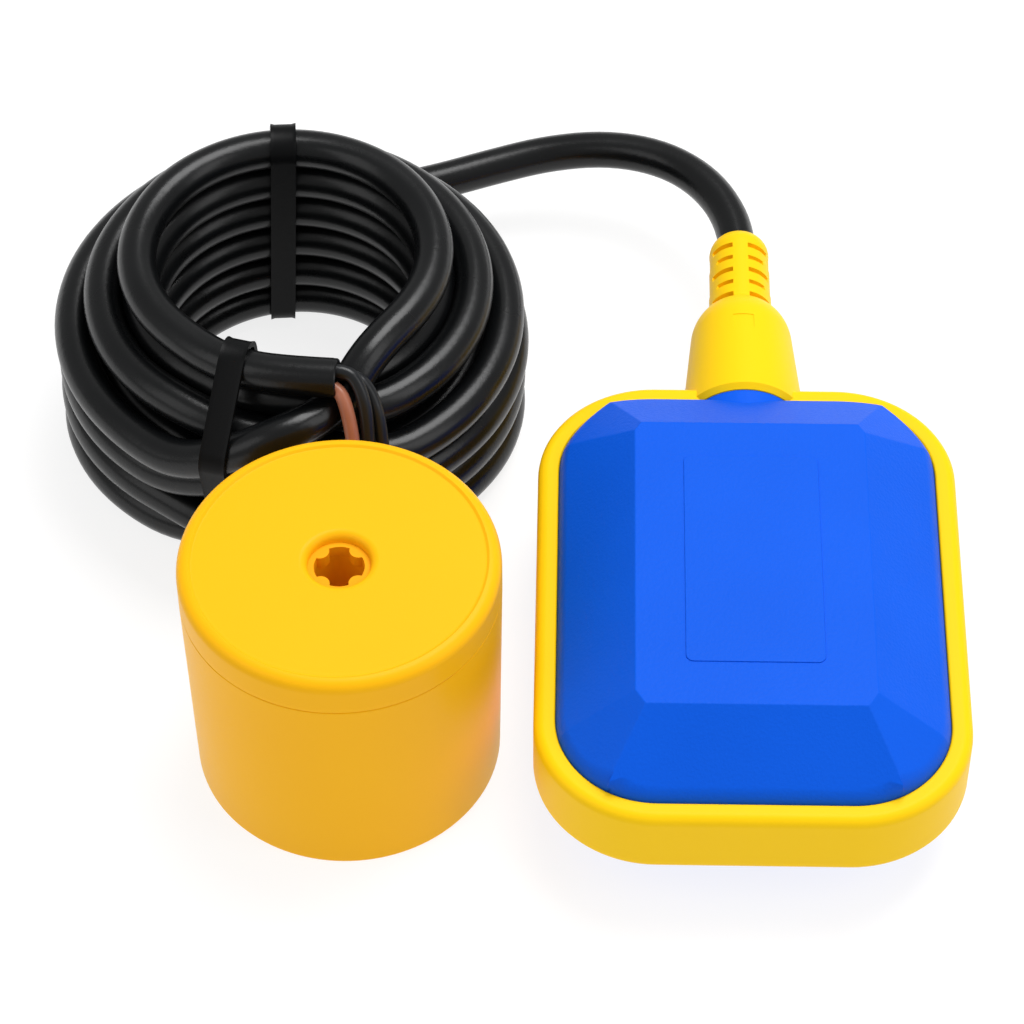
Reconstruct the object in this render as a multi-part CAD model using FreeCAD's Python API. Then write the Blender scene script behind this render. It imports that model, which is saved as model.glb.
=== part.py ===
"""Cable float level switch with its coiled cord and a loose counterweight.

Millimetres, +Z up. The origin is the centre of the float's lower flat face, which
lies on the floor. The float's length runs along Y, with the cord leaving at +Y.
"""
import FreeCAD, Part
import math
import os

V = FreeCAD.Vector
X_AXIS, Y_AXIS, Z_AXIS = V(1, 0, 0), V(0, 1, 0), V(0, 0, 1)
BIG = 400.0

# ---- float: overall form -------------------------------------------------------
float_width = 80.0
float_length = 104.0
float_height = 40.7
corner_radius = 22.5
mid_z = float_height / 2

# yellow frame moulded over the joint of the two shells
band_height = 15.1
band_lip = 4.0
band_edge_radius = 2.0
band_mouth_radius = 0.6

# blue shells: faceted domes that rise out of the frame
shell_wall = 2.4
shell_width = float_width - 2 * band_lip
shell_length = float_length - 2 * band_lip
shell_corner_radius = corner_radius - band_lip
rim_rise = 3.0
rim_z = mid_z + band_height / 2 + rim_rise
plateau_width = 43.4
plateau_front = -35.4
plateau_back = 31.2
front_chamfer = 2.9
back_chamfer = 2.0
chamfer_slant = 0.62
ridge_radius = 3.0
rim_radius = 4.0
flange_reach = 2.0
flange_height = 1.6
label_width = 25.2
label_length = 48.8
label_centre_y = -1.6
label_rise = 0.25
label_corner = 1.4

# neck and strain relief, one moulding with the frame, turned about the cord's axis
tongue_radius = 11.0
tongue_end = 56.0
tongue_bore = 6.2
neck_root_radius = 12.3
neck_top = 70.0
neck_top_radius = 10.1
shoulder_bulge = V(0, 74.6, 8.75)
relief_start = 77.8
relief_radius = 6.25
relief_step = 0.15
relief_end = 102.3
relief_nose = 4.6
relief_tip_radius = 4.3
slot_first = 78.4
slot_pitch = 3.45
slot_count = 5
slot_width = 1.2
slot_floor_radius = 4.75
slot_from_top = 14.0
slot_short_end = 50.0
slot_long_end = 66.0
mark_y = 65.4
mark_length = 3.6
mark_width = 3.3
mark_depth = 0.3

# ---- cord -----------------------------------------------------------------------
cord_radius = 3.8
entry_inner_end = 36.0
entry_outer_end = 92.0
cord_route = [
    V(0, entry_outer_end, mid_z),
    V(0, 102.6, mid_z),
    V(-4.0, 112.3, 20.3),
    V(-11.0, 120.2, 20.1),
    V(-20.2, 125.4, 19.4),
    V(-31.0, 127.9, 18.4),
    V(-42.8, 127.6, 17.1),
    V(-55.5, 124.9, 15.7),
    V(-69.8, 120.6, 14.5),
    V(-85.4, 115.2, 13.9),
    V(-100.0, 109.8, 13.7),
]
coil_centre = V(-89.7, 67.7, 0)
coil_inner_turn = 28.9
coil_outer_turn = 43.0
coil_pitch = 8.5
coil_inner_layers = 6
coil_outer_layers = 4
tie_thickness = 1.3
tie_width = 5.0
tie_head = V(6.4, 5.8, 3.4)
tie_back_angle = 94.0
tie_front_angle = -124.0
tie_cord_room = 2.7
core_radius = 1.35
cord_end_route = [
    V(-103.6, 40.8, 48.0),
    V(-96.6, 36.7, 48.4),
    V(-88.6, 34.4, 49.1),
    V(-78.5, 33.4, 49.6),
]
brown_core_route = [
    V(-78.4, 31.8, 48.7),
    V(-75.9, 31.2, 48.7),
    V(-74.7, 29.3, 47.2),
    V(-74.4, 26.9, 44.0),
    V(-74.2, 24.9, 39.6),
    V(-74.1, 21.8, 30.6),
]
black_core_inner_route = [
    V(-78.2, 33.6, 51.4),
    V(-75.5, 33.4, 51.5),
    V(-73.1, 31.9, 50.1),
    V(-71.6, 29.3, 46.9),
    V(-71.3, 26.6, 41.4),
    V(-71.3, 22.6, 30.2),
]
black_core_outer_route = [
    V(-78.1, 34.9, 49.0),
    V(-74.6, 34.9, 48.9),
    V(-71.2, 33.1, 47.4),
    V(-69.1, 29.6, 43.4),
    V(-68.4, 26.4, 36.6),
    V(-68.3, 23.7, 30.0),
]

# ---- switch mechanism inside the float -------------------------------------------
wall_clearance = 2.0
box_half_width = 19.0
box_front = -26.0
box_back = 28.0
box_wall = 1.6
box_floor = shell_wall + wall_clearance
box_top = float_height - shell_wall - wall_clearance
post_radius = 2.5
post_inset = 5.0
running_gap = 0.3
ball_radius = 8.5
lever_arm = 17.0
lever_swing = 18.0
lever_ratio = 60.0
lever_plate = 1.6
lever_half_width = 7.0
lever_hub_radius = 2.2
lever_tail = 6.5
pivot_y = 6.0
pin_radius = 1.0
pin_clearance = 0.05
ear_half_length = 3.2
ear_side_gap = 0.5
rail_thickness = 2.0
switch_width = 19.8
switch_depth = 10.2
switch_height = 6.4
switch_wall = 1.0
switch_gap = 2.6
plunger_drop = 3.0
plunger_offset = 2.4
plunger_radius = 0.9
plunger_flange_radius = 1.5
plunger_flange = 0.8
plunger_play = 0.15
plunger_ratio = 0.21
blade_ratio = 26.0
blade_thickness = 0.4
blade_reach = 12.8
blade_width = 2.8
blade_lever_arm = 8.8
blade_roll_radius = 0.6
contact_radius = 0.9
contact_height = 0.35
terminal_thickness = 0.5
terminal_width = 3.2
terminal_tail = 0.6
hole_spacing = 9.5
hole_radius = 1.1
hole_depth = 7.3
boss_radius = 1.8
lead_radius = 0.9
clamp_y = 38.0
clamp_length = 4.0
clamp_half_width = 9.5
clamp_gap = 0.35
clamp_rise = 6.4
screw_spacing = 14.0
screw_radius = 1.25
screw_head_radius = 2.3
screw_head = 1.8
screw_depth = 9.0
seal_start = 45.8
seal_length = 9.4

# ---- counterweight ---------------------------------------------------------------
weight_centre = V(-75.1, -14.2, 0)
weight_radius = 29.3
weight_foot_radius = 28.6
weight_height = 54.3
lid_height = 7.4
weight_wall = 2.2
weight_foot_edge = 1.0
lid_edge = 2.2
lid_rim_width = 2.4
lid_field_depth = 0.4
lid_plate = 5.0
spigot_depth = 3.0
fit_gap = 0.1
bore_radius = 4.9
bore_wall = 2.6
recess_radius = 5.7
recess_lip = 1.6
recess_depth = 2.4
ring_height = 2.6
lobe_radius = 4.7
tooth_radius = 1.5
tooth_reach = 5.15
tooth_angles = (57.0, 126.0, 237.0, 306.0)
ballast_height = 16.0


# ---- helpers ---------------------------------------------------------------------
def rounded_rectangle(width, length, radius, z):
    """Closed wire of a rounded rectangle, centred on the Z axis."""
    half_x, half_y = width / 2 - radius, length / 2 - radius
    corners = [(half_x, -half_y, -90), (half_x, half_y, 0), (-half_x, half_y, 90), (-half_x, -half_y, 180)]
    arcs = []
    for x, y, start in corners:
        centre = V(x, y, z)
        angles = [math.radians(start + step) for step in (0, 45, 90)]
        arcs.append([centre + V(radius * math.cos(a), radius * math.sin(a), 0) for a in angles])
    edges = []
    for arc, following in zip(arcs, arcs[1:] + arcs[:1]):
        edges.append(Part.Arc(*arc).toShape())
        edges.append(Part.LineSegment(arc[2], following[0]).toShape())
    return Part.Wire(edges)


def rounded_block(width, length, radius, z_low, z_high):
    face = Part.Face(rounded_rectangle(width, length, radius, z_low))
    return face.extrude(V(0, 0, z_high - z_low))


def box(x_low, x_high, y_low, y_high, z_low, z_high):
    return Part.makeBox(x_high - x_low, y_high - y_low, z_high - z_low, V(x_low, y_low, z_low))


def cylinder(radius, length, start, direction):
    return Part.makeCylinder(radius, length, start, direction)


def polygon_face(points):
    return Part.Face(Part.makePolygon(points + points[:1]))


def distance_inside(point, width, length, radius):
    """Signed distance from a rounded rectangle's outline, below zero inside it."""
    x = abs(point.x) - (width / 2 - radius)
    y = abs(point.y) - (length / 2 - radius)
    return math.hypot(max(x, 0), max(y, 0)) + min(max(x, y), 0) - radius


def bent_tube(points, radius, fill=0.45):
    """Round tube along straight runs joined by tangent arcs, as large as the runs allow."""
    edges, radii, start = [], [], points[0]
    for before, corner, after in zip(points, points[1:], points[2:]):
        incoming, outgoing = (corner - before), (after - corner)
        setback = fill * min(incoming.Length, outgoing.Length)
        turn = incoming.getAngle(outgoing)
        bend = setback / math.tan(turn / 2)
        radii.append(bend)
        into = corner - V(incoming).normalize() * setback
        out_of = corner + V(outgoing).normalize() * setback
        bisector = (V(outgoing).normalize() - V(incoming).normalize()).normalize()
        middle = corner + bisector * (bend / math.cos(turn / 2) - bend)
        edges.append(Part.LineSegment(start, into).toShape())
        edges.append(Part.Arc(into, middle, out_of).toShape())
        start = out_of
    edges.append(Part.LineSegment(start, points[-1]).toShape())
    path = Part.Wire(edges)
    heading = points[1] - points[0]
    profile = Part.Wire(Part.makeCircle(radius, points[0], heading))
    tube = path.makePipeShell([profile], True, False)
    expected = math.pi * radius * radius * path.Length
    return tube, radii, tube.Volume / expected, path.Length


def mirrored_down(shape):
    """The same shape turned over about the float's middle plane."""
    return shape.mirror(V(0, 0, mid_z), Z_AXIS)


# ---- float shells ----------------------------------------------------------------
def plateau_corner(side, end):
    """The two ends of one chamfer of the flat top, at the top's own height."""
    edge_y, chamfer = (plateau_front, front_chamfer) if end < 0 else (plateau_back, back_chamfer)
    half = plateau_width / 2
    return (side * half, edge_y - end * chamfer), (side * (half - chamfer * chamfer_slant), edge_y)


def facet_planes(inset):
    """Point, outward direction and slope of each sloping facet of a dome."""
    drop = float_height - rim_z
    facets = []
    for side in (1, -1):
        start = side * plateau_width / 2
        facets.append((start, 0, side, 0, drop / (shell_width / 2 - plateau_width / 2)))
    facets.append((0, plateau_front, 0, -1, drop / (shell_length / 2 + plateau_front)))
    facets.append((0, plateau_back, 0, 1, drop / (shell_length / 2 - plateau_back)))
    for side in (1, -1):
        for end in (1, -1):
            (ax, ay), (bx, by) = plateau_corner(side, end)
            size = math.hypot(by - ay, bx - ax)
            nx, ny = side * abs(by - ay) / size, end * abs(bx - ax) / size
            corner_x = shell_width / 2 - shell_corner_radius
            corner_y = shell_length / 2 - shell_corner_radius
            reach = corner_x * abs(nx) + corner_y * abs(ny) + shell_corner_radius
            facets.append((ax, ay, nx, ny, drop / (reach - ax * nx - ay * ny)))
    planes = []
    for x, y, nx, ny, slope in facets:
        normal = V(nx * slope, ny * slope, 1).normalize()
        planes.append((V(x, y, float_height) - normal * inset, normal))
    return planes


def dome(inset):
    """Faceted dome above the middle plane, moved inwards by a wall thickness."""
    body = rounded_block(
        shell_width - 2 * inset,
        shell_length - 2 * inset,
        shell_corner_radius - inset,
        mid_z,
        float_height - inset,
    )
    for point, normal in facet_planes(inset):
        waste = Part.makeBox(BIG, BIG, BIG, V(-BIG / 2, -BIG / 2, 0))
        waste.Placement = FreeCAD.Placement(point, FreeCAD.Rotation(Z_AXIS, normal))
        body = body.cut(waste)
    return body


def dome_ridges(body):
    """Edges that run down from the flat top between two facets."""
    ridges = []
    for edge in body.Edges:
        heights = sorted(vertex.Z for vertex in edge.Vertexes)
        if len(heights) == 2 and heights[1] > float_height - 0.01 and heights[0] < float_height - 1:
            ridges.append(edge)
    return ridges


def dome_rim(body):
    """Edges where the facets meet the dome's upright wall."""
    rim = []
    for edge in body.Edges:
        middle = edge.valueAt((edge.FirstParameter + edge.LastParameter) / 2)
        points = [vertex.Point for vertex in edge.Vertexes] + [middle]
        on_wall = all(
            abs(distance_inside(point, shell_width, shell_length, shell_corner_radius)) < 1e-3
            for point in points
        )
        level = abs(edge.tangentAt(edge.FirstParameter).z) < 0.9
        if on_wall and level and min(point.z for point in points) > mid_z + 1:
            rim.append(edge)
    return rim


def half_disc_along_y(radius, y_low, y_high):
    """Upper half of a cylinder on the cord's axis."""
    whole = cylinder(radius, y_high - y_low, V(0, y_low, mid_z), Y_AXIS)
    return whole.common(box(-radius, radius, y_low, y_high, mid_z, mid_z + radius))


def upper_half_shell():
    """Outer dome with its joint flange and half of the cord tongue, hollowed out."""
    outer = dome(0)
    outer = outer.makeFillet(ridge_radius, dome_ridges(outer))
    outer = outer.makeFillet(rim_radius, dome_rim(outer))
    flange = rounded_block(
        shell_width + 2 * flange_reach,
        shell_length + 2 * flange_reach,
        shell_corner_radius + flange_reach,
        mid_z,
        mid_z + flange_height,
    )
    cavity = dome(shell_wall)
    tongue = half_disc_along_y(tongue_radius, 0, tongue_end)
    bore = cylinder(tongue_bore, BIG, V(0, 0, mid_z), Y_AXIS)
    shell = outer.fuse([flange, tongue]).cut(cavity).cut(bore)
    return shell.removeSplitter()


def box_posts(z_low, z_high):
    """Four posts that hold the mechanism box clear of a shell."""
    reach = box_half_width - post_inset
    posts = []
    for x in (-reach, reach):
        for y in (box_front + post_inset, box_back - post_inset):
            posts.append(cylinder(post_radius, z_high - z_low, V(x, y, z_low), Z_AXIS))
    return posts


def make_upper_shell():
    shell = upper_half_shell()
    shell = shell.fuse(box_posts(box_top, float_height - shell_wall))
    label = rounded_block(
        label_width, label_length, label_corner, float_height - shell_wall / 2, float_height + label_rise
    )
    label.translate(V(0, label_centre_y, 0))
    return shell.fuse(label).removeSplitter()


def make_lower_shell():
    shell = mirrored_down(upper_half_shell())
    shell = shell.fuse(box_posts(shell_wall, box_floor))
    saddle = box(
        -clamp_half_width, clamp_half_width, clamp_y, clamp_y + clamp_length, 0.5, mid_z - clamp_gap
    )
    saddle = saddle.common(mirrored_down(dome(shell_wall / 2)))
    cord = cylinder(cord_radius, BIG, V(0, 0, mid_z), Y_AXIS)
    saddle = saddle.cut(cord)
    for x in (-screw_spacing / 2, screw_spacing / 2):
        start = V(x, clamp_y + clamp_length / 2, mid_z - screw_depth)
        saddle = saddle.cut(cylinder(screw_radius, BIG, start, Z_AXIS))
    return shell.fuse(saddle).removeSplitter()


# ---- yellow frame ----------------------------------------------------------------
def neck_profile():
    """Half section of neck and strain relief in the YZ plane, heights taken from the axis."""
    root = shell_length / 2 - 1
    step_places = [slot_first + slot_pitch, slot_first + 3 * slot_pitch]
    nose_start = relief_end - relief_nose
    nose_radius = relief_radius - 2 * relief_step
    corners = [V(0, root, neck_root_radius), V(0, neck_top, neck_top_radius)]
    foot = V(0, relief_start, relief_radius)
    relief = [foot, V(0, step_places[0], relief_radius)]
    radius = relief_radius
    for place, following in zip(step_places, step_places[1:] + [nose_start]):
        radius -= relief_step
        relief.append(V(0, place, radius))
        relief.append(V(0, following, radius))
    bend = (nose_radius - relief_tip_radius) * 0.30
    nose_middle = V(0, relief_end - relief_nose * 0.30, nose_radius - bend)
    tip = V(0, relief_end, relief_tip_radius)
    edges = [Part.LineSegment(corners[0], corners[1])]
    edges.append(Part.Arc(corners[1], shoulder_bulge, foot))
    edges += [Part.LineSegment(a, b) for a, b in zip(relief, relief[1:])]
    edges.append(Part.Arc(relief[-1], nose_middle, tip))
    edges.append(Part.LineSegment(tip, V(0, relief_end, 0)))
    edges.append(Part.LineSegment(V(0, relief_end, 0), V(0, root, 0)))
    edges.append(Part.LineSegment(V(0, root, 0), corners[0]))
    return Part.Face(Part.Wire([edge.toShape() for edge in edges]))


def relief_slots():
    """Curved windows beside the plain strips of the relief, long and short in turn."""
    slots = []
    for index in range(slot_count):
        y = slot_first + index * slot_pitch
        end = slot_long_end if index % 2 == 0 else slot_short_end
        section = polygon_face([
            V(0, y - slot_width / 2, slot_floor_radius),
            V(0, y + slot_width / 2, slot_floor_radius),
            V(0, y + slot_width / 2, relief_radius + neck_top_radius),
            V(0, y - slot_width / 2, relief_radius + neck_top_radius),
        ])
        window = section.revolve(V(0, 0, 0), Y_AXIS, end - slot_from_top)
        window.rotate(V(0, 0, 0), Y_AXIS, slot_from_top)
        window.translate(V(0, 0, mid_z))
        across = window.mirror(V(0, 0, 0), X_AXIS)
        slots += [window, across, mirrored_down(window), mirrored_down(across)]
    return slots


def make_float_frame():
    low = mid_z - band_height / 2
    high = mid_z + band_height / 2
    ring = rounded_block(float_width, float_length, corner_radius, low, high)
    outer_edges = [edge for edge in ring.Edges if abs(edge.Vertexes[0].Z - edge.Vertexes[-1].Z) < 1e-6]
    ring = ring.makeFillet(band_edge_radius, outer_edges)
    neck = neck_profile().revolve(V(0, 0, 0), Y_AXIS, 360)
    neck.translate(V(0, 0, mid_z))
    frame = ring.fuse(neck)
    opening = rounded_block(shell_width, shell_length, shell_corner_radius, -BIG / 2, BIG / 2)
    groove = rounded_block(
        shell_width + 2 * flange_reach,
        shell_length + 2 * flange_reach,
        shell_corner_radius + flange_reach,
        mid_z - flange_height,
        mid_z + flange_height,
    )
    tongue = cylinder(tongue_radius, tongue_end, V(0, 0, mid_z), Y_AXIS)
    cord = cylinder(cord_radius, BIG, V(0, 0, mid_z), Y_AXIS)
    top = mid_z + neck_root_radius
    mark_top = mid_z + neck_radius_at(mark_y + mark_length / 2)
    mark = box(-mark_width / 2, mark_width / 2, mark_y, mark_y + mark_length, mark_top - mark_depth, top)
    return frame.cut([opening, groove, tongue, cord, mark] + relief_slots()).removeSplitter()


def neck_radius_at(y):
    root = shell_length / 2 - 1
    return neck_root_radius + (neck_top_radius - neck_root_radius) * (y - root) / (neck_top - root)


# ---- mechanism -------------------------------------------------------------------
inner_floor = box_floor + box_wall
ball_z = inner_floor + ball_radius + running_gap
pivot_z = ball_z + lever_arm
ball_y = pivot_y - ball_radius - running_gap
ball_travel = math.radians(lever_swing) / lever_ratio * 1000
rail_inner = ball_radius + running_gap
plunger_z = pivot_z - plunger_drop
plunger_tip = pivot_y + lever_plate + plunger_play
switch_front = pivot_y + lever_plate + switch_gap
switch_back = switch_front + switch_depth
switch_low = plunger_z - switch_height / 2
switch_high = plunger_z + switch_height / 2
plunger_end = switch_front + switch_wall + plunger_play + plunger_flange
blade_y = plunger_end + plunger_play
lid_low = box_top - box_wall
terminal_end = box_back + terminal_tail
blade_pivot_x = plunger_offset - blade_lever_arm
common_x = blade_pivot_x - blade_roll_radius - fit_gap - terminal_thickness
closed_x = switch_width / 2 - switch_wall - terminal_thickness - 0.2
open_x = 0.0


def make_mechanism_tray():
    """Open box with the ball's channel, the lever's ears and ledges under the microswitch."""
    body = box(-box_half_width, box_half_width, box_front, box_back, box_floor, lid_low)
    hollow = box(
        -box_half_width + box_wall,
        box_half_width - box_wall,
        box_front + box_wall,
        box_back - box_wall,
        inner_floor,
        BIG,
    )
    body = body.cut(hollow)
    stop_y = ball_y - ball_radius - running_gap
    ledge_top = switch_low
    for side in (-1, 1):
        inner, outer = side * rail_inner, side * (rail_inner + rail_thickness)
        low_x, high_x = min(inner, outer), max(inner, outer)
        rail = box(low_x, high_x, stop_y - rail_thickness, switch_back, inner_floor - 0.5, ledge_top)
        ear = box(
            low_x,
            high_x,
            pivot_y - ear_half_length,
            pivot_y + ear_half_length,
            inner_floor - 0.5,
            pivot_z + lever_hub_radius,
        )
        body = body.fuse([rail, ear])
    stop = box(
        -rail_inner - rail_thickness,
        rail_inner + rail_thickness,
        stop_y - rail_thickness,
        stop_y,
        inner_floor - 0.5,
        ball_z + ball_radius / 2,
    )
    pin_hole = cylinder(pin_radius, 2 * BIG, V(-BIG, pivot_y, pivot_z), X_AXIS)
    ears_only = box(
        -rail_inner - rail_thickness - 1,
        rail_inner + rail_thickness + 1,
        pivot_y - ear_half_length,
        pivot_y + ear_half_length,
        pivot_z - lever_hub_radius,
        BIG,
    )
    window = box(
        common_x - 2,
        closed_x + 3,
        box_back - box_wall - 1,
        box_back + 1,
        plunger_z - terminal_width / 2,
        plunger_z + terminal_width / 2,
    )
    return body.fuse(stop).cut(pin_hole.common(ears_only)).cut(window).removeSplitter()


def make_mechanism_lid():
    """Flat cover with a locating lip and two pegs that pin the microswitch down."""
    plate = box(-box_half_width, box_half_width, box_front, box_back, lid_low, box_top)
    inset = box_wall + fit_gap
    lip_outer = box(
        -box_half_width + inset,
        box_half_width - inset,
        box_front + inset,
        box_back - inset,
        lid_low - 1.0,
        lid_low + 0.5,
    )
    lip_inner = box(
        -box_half_width + inset + 1.2,
        box_half_width - inset - 1.2,
        box_front + inset + 1.2,
        box_back - inset - 1.2,
        lid_low - 2.0,
        lid_low,
    )
    lid = plate.fuse(lip_outer.cut(lip_inner))
    for x in (-hole_spacing / 2, hole_spacing / 2):
        bottom = switch_low + switch_wall
        shoulder = cylinder(
            boss_radius, lid_low + 0.5 - switch_high, V(x, switch_front + hole_depth, switch_high), Z_AXIS
        )
        peg = cylinder(
            hole_radius - fit_gap, switch_high + 0.5 - bottom, V(x, switch_front + hole_depth, bottom), Z_AXIS
        )
        lid = lid.fuse([shoulder, peg])
    return lid.removeSplitter()


def make_steel_ball():
    return Part.makeSphere(ball_radius, V(0, ball_y, ball_z))


def make_rocker_lever():
    """Paddle hung from the pin, pushed at its foot by the ball."""
    half_hub = rail_inner - ear_side_gap
    hub = cylinder(lever_hub_radius, 2 * half_hub, V(-half_hub, pivot_y, pivot_z), X_AXIS)
    plate = box(
        -lever_half_width,
        lever_half_width,
        pivot_y,
        pivot_y + lever_plate,
        ball_z - lever_tail,
        pivot_z,
    )
    hole = cylinder(pin_radius + pin_clearance, 2 * BIG, V(-BIG, pivot_y, pivot_z), X_AXIS)
    foot_edges = []
    for edge in plate.Edges:
        ends = [vertex.Point for vertex in edge.Vertexes]
        if all(point.z < ball_z for point in ends) and abs(ends[0].y - ends[1].y) > lever_plate / 2:
            foot_edges.append(edge)
    plate = plate.makeFillet(lever_half_width / 2, foot_edges)
    return hub.fuse(plate).cut(hole).removeSplitter()


def make_lever_pin():
    half = rail_inner + rail_thickness
    return cylinder(pin_radius, 2 * half, V(-half, pivot_y, pivot_z), X_AXIS)


def switch_outline(z_low, z_high):
    half = switch_width / 2
    return box(-half, half, switch_front, switch_back, z_low, z_high)


def switch_holes(radius, z_low, z_high):
    y = switch_front + hole_depth
    return [
        cylinder(radius, z_high - z_low, V(x, y, z_low), Z_AXIS)
        for x in (-hole_spacing / 2, hole_spacing / 2)
    ]


def make_microswitch_case():
    half = switch_width / 2
    cover_low = switch_high - switch_wall
    body = switch_outline(switch_low, cover_low)
    hollow = box(
        -half + switch_wall,
        half - switch_wall,
        switch_front + switch_wall,
        switch_back - switch_wall,
        switch_low + switch_wall,
        BIG,
    )
    body = body.cut(hollow).fuse(switch_holes(boss_radius, switch_low, cover_low))
    body = body.cut(switch_holes(hole_radius, -BIG, BIG))
    nose = cylinder(
        plunger_radius + fit_gap,
        switch_wall + 1,
        V(plunger_offset, switch_front - 0.5, plunger_z),
        Y_AXIS,
    )
    slots = []
    for x in (common_x, open_x, closed_x):
        slots.append(box(
            x,
            x + terminal_thickness,
            switch_back - switch_wall - 0.5,
            switch_back + 0.5,
            plunger_z - terminal_width / 2,
            plunger_z + terminal_width / 2,
        ))
    return body.cut([nose] + slots).removeSplitter()


def make_microswitch_cover():
    return switch_outline(switch_high - switch_wall, switch_high).cut(
        switch_holes(hole_radius, -BIG, BIG)
    )


def make_plunger():
    length = plunger_end - plunger_tip
    stem = cylinder(plunger_radius, length, V(plunger_offset, plunger_tip, plunger_z), Y_AXIS)
    tip_edges = [edge for edge in stem.Edges if edge.Vertexes[0].Y < plunger_tip + 0.1 and edge.Closed]
    stem = stem.makeFillet(plunger_radius * 0.5, tip_edges)
    start = V(plunger_offset, plunger_end - plunger_flange, plunger_z)
    return stem.fuse(cylinder(plunger_flange_radius, plunger_flange, start, Y_AXIS)).removeSplitter()


def make_contact_blade():
    """Strip with a rolled end against the common terminal and a contact button at its tip."""
    tip_x = blade_pivot_x + blade_reach
    middle_y = blade_y + blade_thickness / 2
    roll_start = V(blade_pivot_x, middle_y, plunger_z - blade_width / 2)
    roll = cylinder(blade_roll_radius, blade_width, roll_start, Z_AXIS)
    strip = box(
        blade_pivot_x,
        tip_x,
        blade_y,
        blade_y + blade_thickness,
        plunger_z - blade_width / 2,
        plunger_z + blade_width / 2,
    )
    centre = V(tip_x - contact_radius, blade_y - contact_height, plunger_z)
    button = cylinder(contact_radius, blade_thickness + 2 * contact_height, centre, Y_AXIS)
    return strip.fuse([roll, button]).removeSplitter()


def terminal_strip(x, y_start):
    return box(
        x,
        x + terminal_thickness,
        y_start,
        terminal_end,
        plunger_z - terminal_width / 2,
        plunger_z + terminal_width / 2,
    )


def make_common_terminal():
    return terminal_strip(common_x, blade_y - blade_roll_radius)


def contact_arm(x_low, x_high, y_low):
    return box(
        x_low,
        x_high,
        y_low,
        y_low + terminal_thickness,
        plunger_z - terminal_width / 2,
        plunger_z + terminal_width / 2,
    )


def make_normally_closed_terminal():
    y_low = blade_y - contact_height - fit_gap - terminal_thickness
    arm = contact_arm(blade_pivot_x + blade_reach - 2 * contact_radius, closed_x + terminal_thickness, y_low)
    return terminal_strip(closed_x, y_low).fuse(arm).removeSplitter()


def make_normally_open_terminal():
    lift = blade_reach * math.tan(blade_ratio * ball_travel / 1000)
    y_low = blade_y + blade_thickness + contact_height + lift + fit_gap
    arm = contact_arm(open_x, blade_pivot_x + blade_reach, y_low)
    return terminal_strip(open_x, y_low).fuse(arm).removeSplitter()


def make_lead(x, spread):
    """Insulated core from a terminal to the end of the cord's sheath."""
    start = V(x + terminal_thickness / 2, terminal_end, plunger_z)
    end = V(spread, entry_inner_end, mid_z + abs(spread) * 0.2)
    reach = entry_inner_end - terminal_end
    points = [start, start + V(0, reach * 0.30, 0), end - V(0, reach * 0.30, 0), end]
    return bent_tube(points, lead_radius)[0]


def make_cable_seal():
    """Rubber bush that seals the cord in the shells' tongue."""
    outer = cylinder(tongue_bore, seal_length, V(0, seal_start, mid_z), Y_AXIS)
    return outer.cut(cylinder(cord_radius, BIG, V(0, 0, mid_z), Y_AXIS))


def make_clamp_bar():
    low = mid_z + clamp_gap
    bar = box(-clamp_half_width, clamp_half_width, clamp_y, clamp_y + clamp_length, low, low + clamp_rise)
    bar = bar.cut(cylinder(cord_radius, BIG, V(0, 0, mid_z), Y_AXIS))
    for x in (-screw_spacing / 2, screw_spacing / 2):
        start = V(x, clamp_y + clamp_length / 2, 0)
        bar = bar.cut(cylinder(screw_radius, BIG, start, Z_AXIS))
    return bar


def make_clamp_screws():
    """Two pan-head screws that pull the bar down on the cord."""
    seat = mid_z + clamp_gap + clamp_rise
    bottom = mid_z - screw_depth
    screws = []
    for x in (-screw_spacing / 2, screw_spacing / 2):
        shank = cylinder(screw_radius, seat - bottom, V(x, clamp_y + clamp_length / 2, bottom), Z_AXIS)
        head = cylinder(screw_head_radius, screw_head, V(x, clamp_y + clamp_length / 2, seat), Z_AXIS)
        rim = [edge for edge in head.Edges if edge.Closed and edge.Vertexes[0].Z > seat + 0.1]
        head = head.makeFillet(screw_head / 3, rim)
        screws.append(shank.fuse(head).removeSplitter())
    return Part.makeCompound(screws)


# ---- cord, coil and ties ---------------------------------------------------------
coil_low = tie_thickness + cord_radius


def hull_face(offset, reach=0):
    """Section of the wound coil in a radial plane, its outer side moved out by a reach."""
    top_inner = coil_low + (coil_inner_layers - 1) * coil_pitch
    top_outer = coil_low + (coil_outer_layers - 1) * coil_pitch
    centres = [
        V(coil_inner_turn, 0, coil_low),
        V(coil_outer_turn + reach, 0, coil_low),
        V(coil_outer_turn + reach, 0, top_outer),
        V(coil_inner_turn, 0, top_inner),
    ]
    radius = cord_radius + offset
    edges, first, last = [], None, None
    for before, centre, after in zip(centres[-1:] + centres[:-1], centres, centres[1:] + centres[:1]):
        into, out_of = (centre - before).normalize(), (after - centre).normalize()
        normals = [V(into.z, 0, -into.x), V(out_of.z, 0, -out_of.x)]
        middle = (normals[0] + normals[1]).normalize()
        start, end = centre + normals[0] * radius, centre + normals[1] * radius
        if last is None:
            first = start
        else:
            edges.append(Part.LineSegment(last, start).toShape())
        edges.append(Part.Arc(start, centre + middle * radius, end).toShape())
        last = end
    edges.append(Part.LineSegment(last, first).toShape())
    return Part.Face(Part.Wire(edges))


def make_cord_coil():
    coil = hull_face(0).revolve(V(0, 0, 0), Z_AXIS, 360)
    coil.translate(coil_centre)
    return coil


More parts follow.
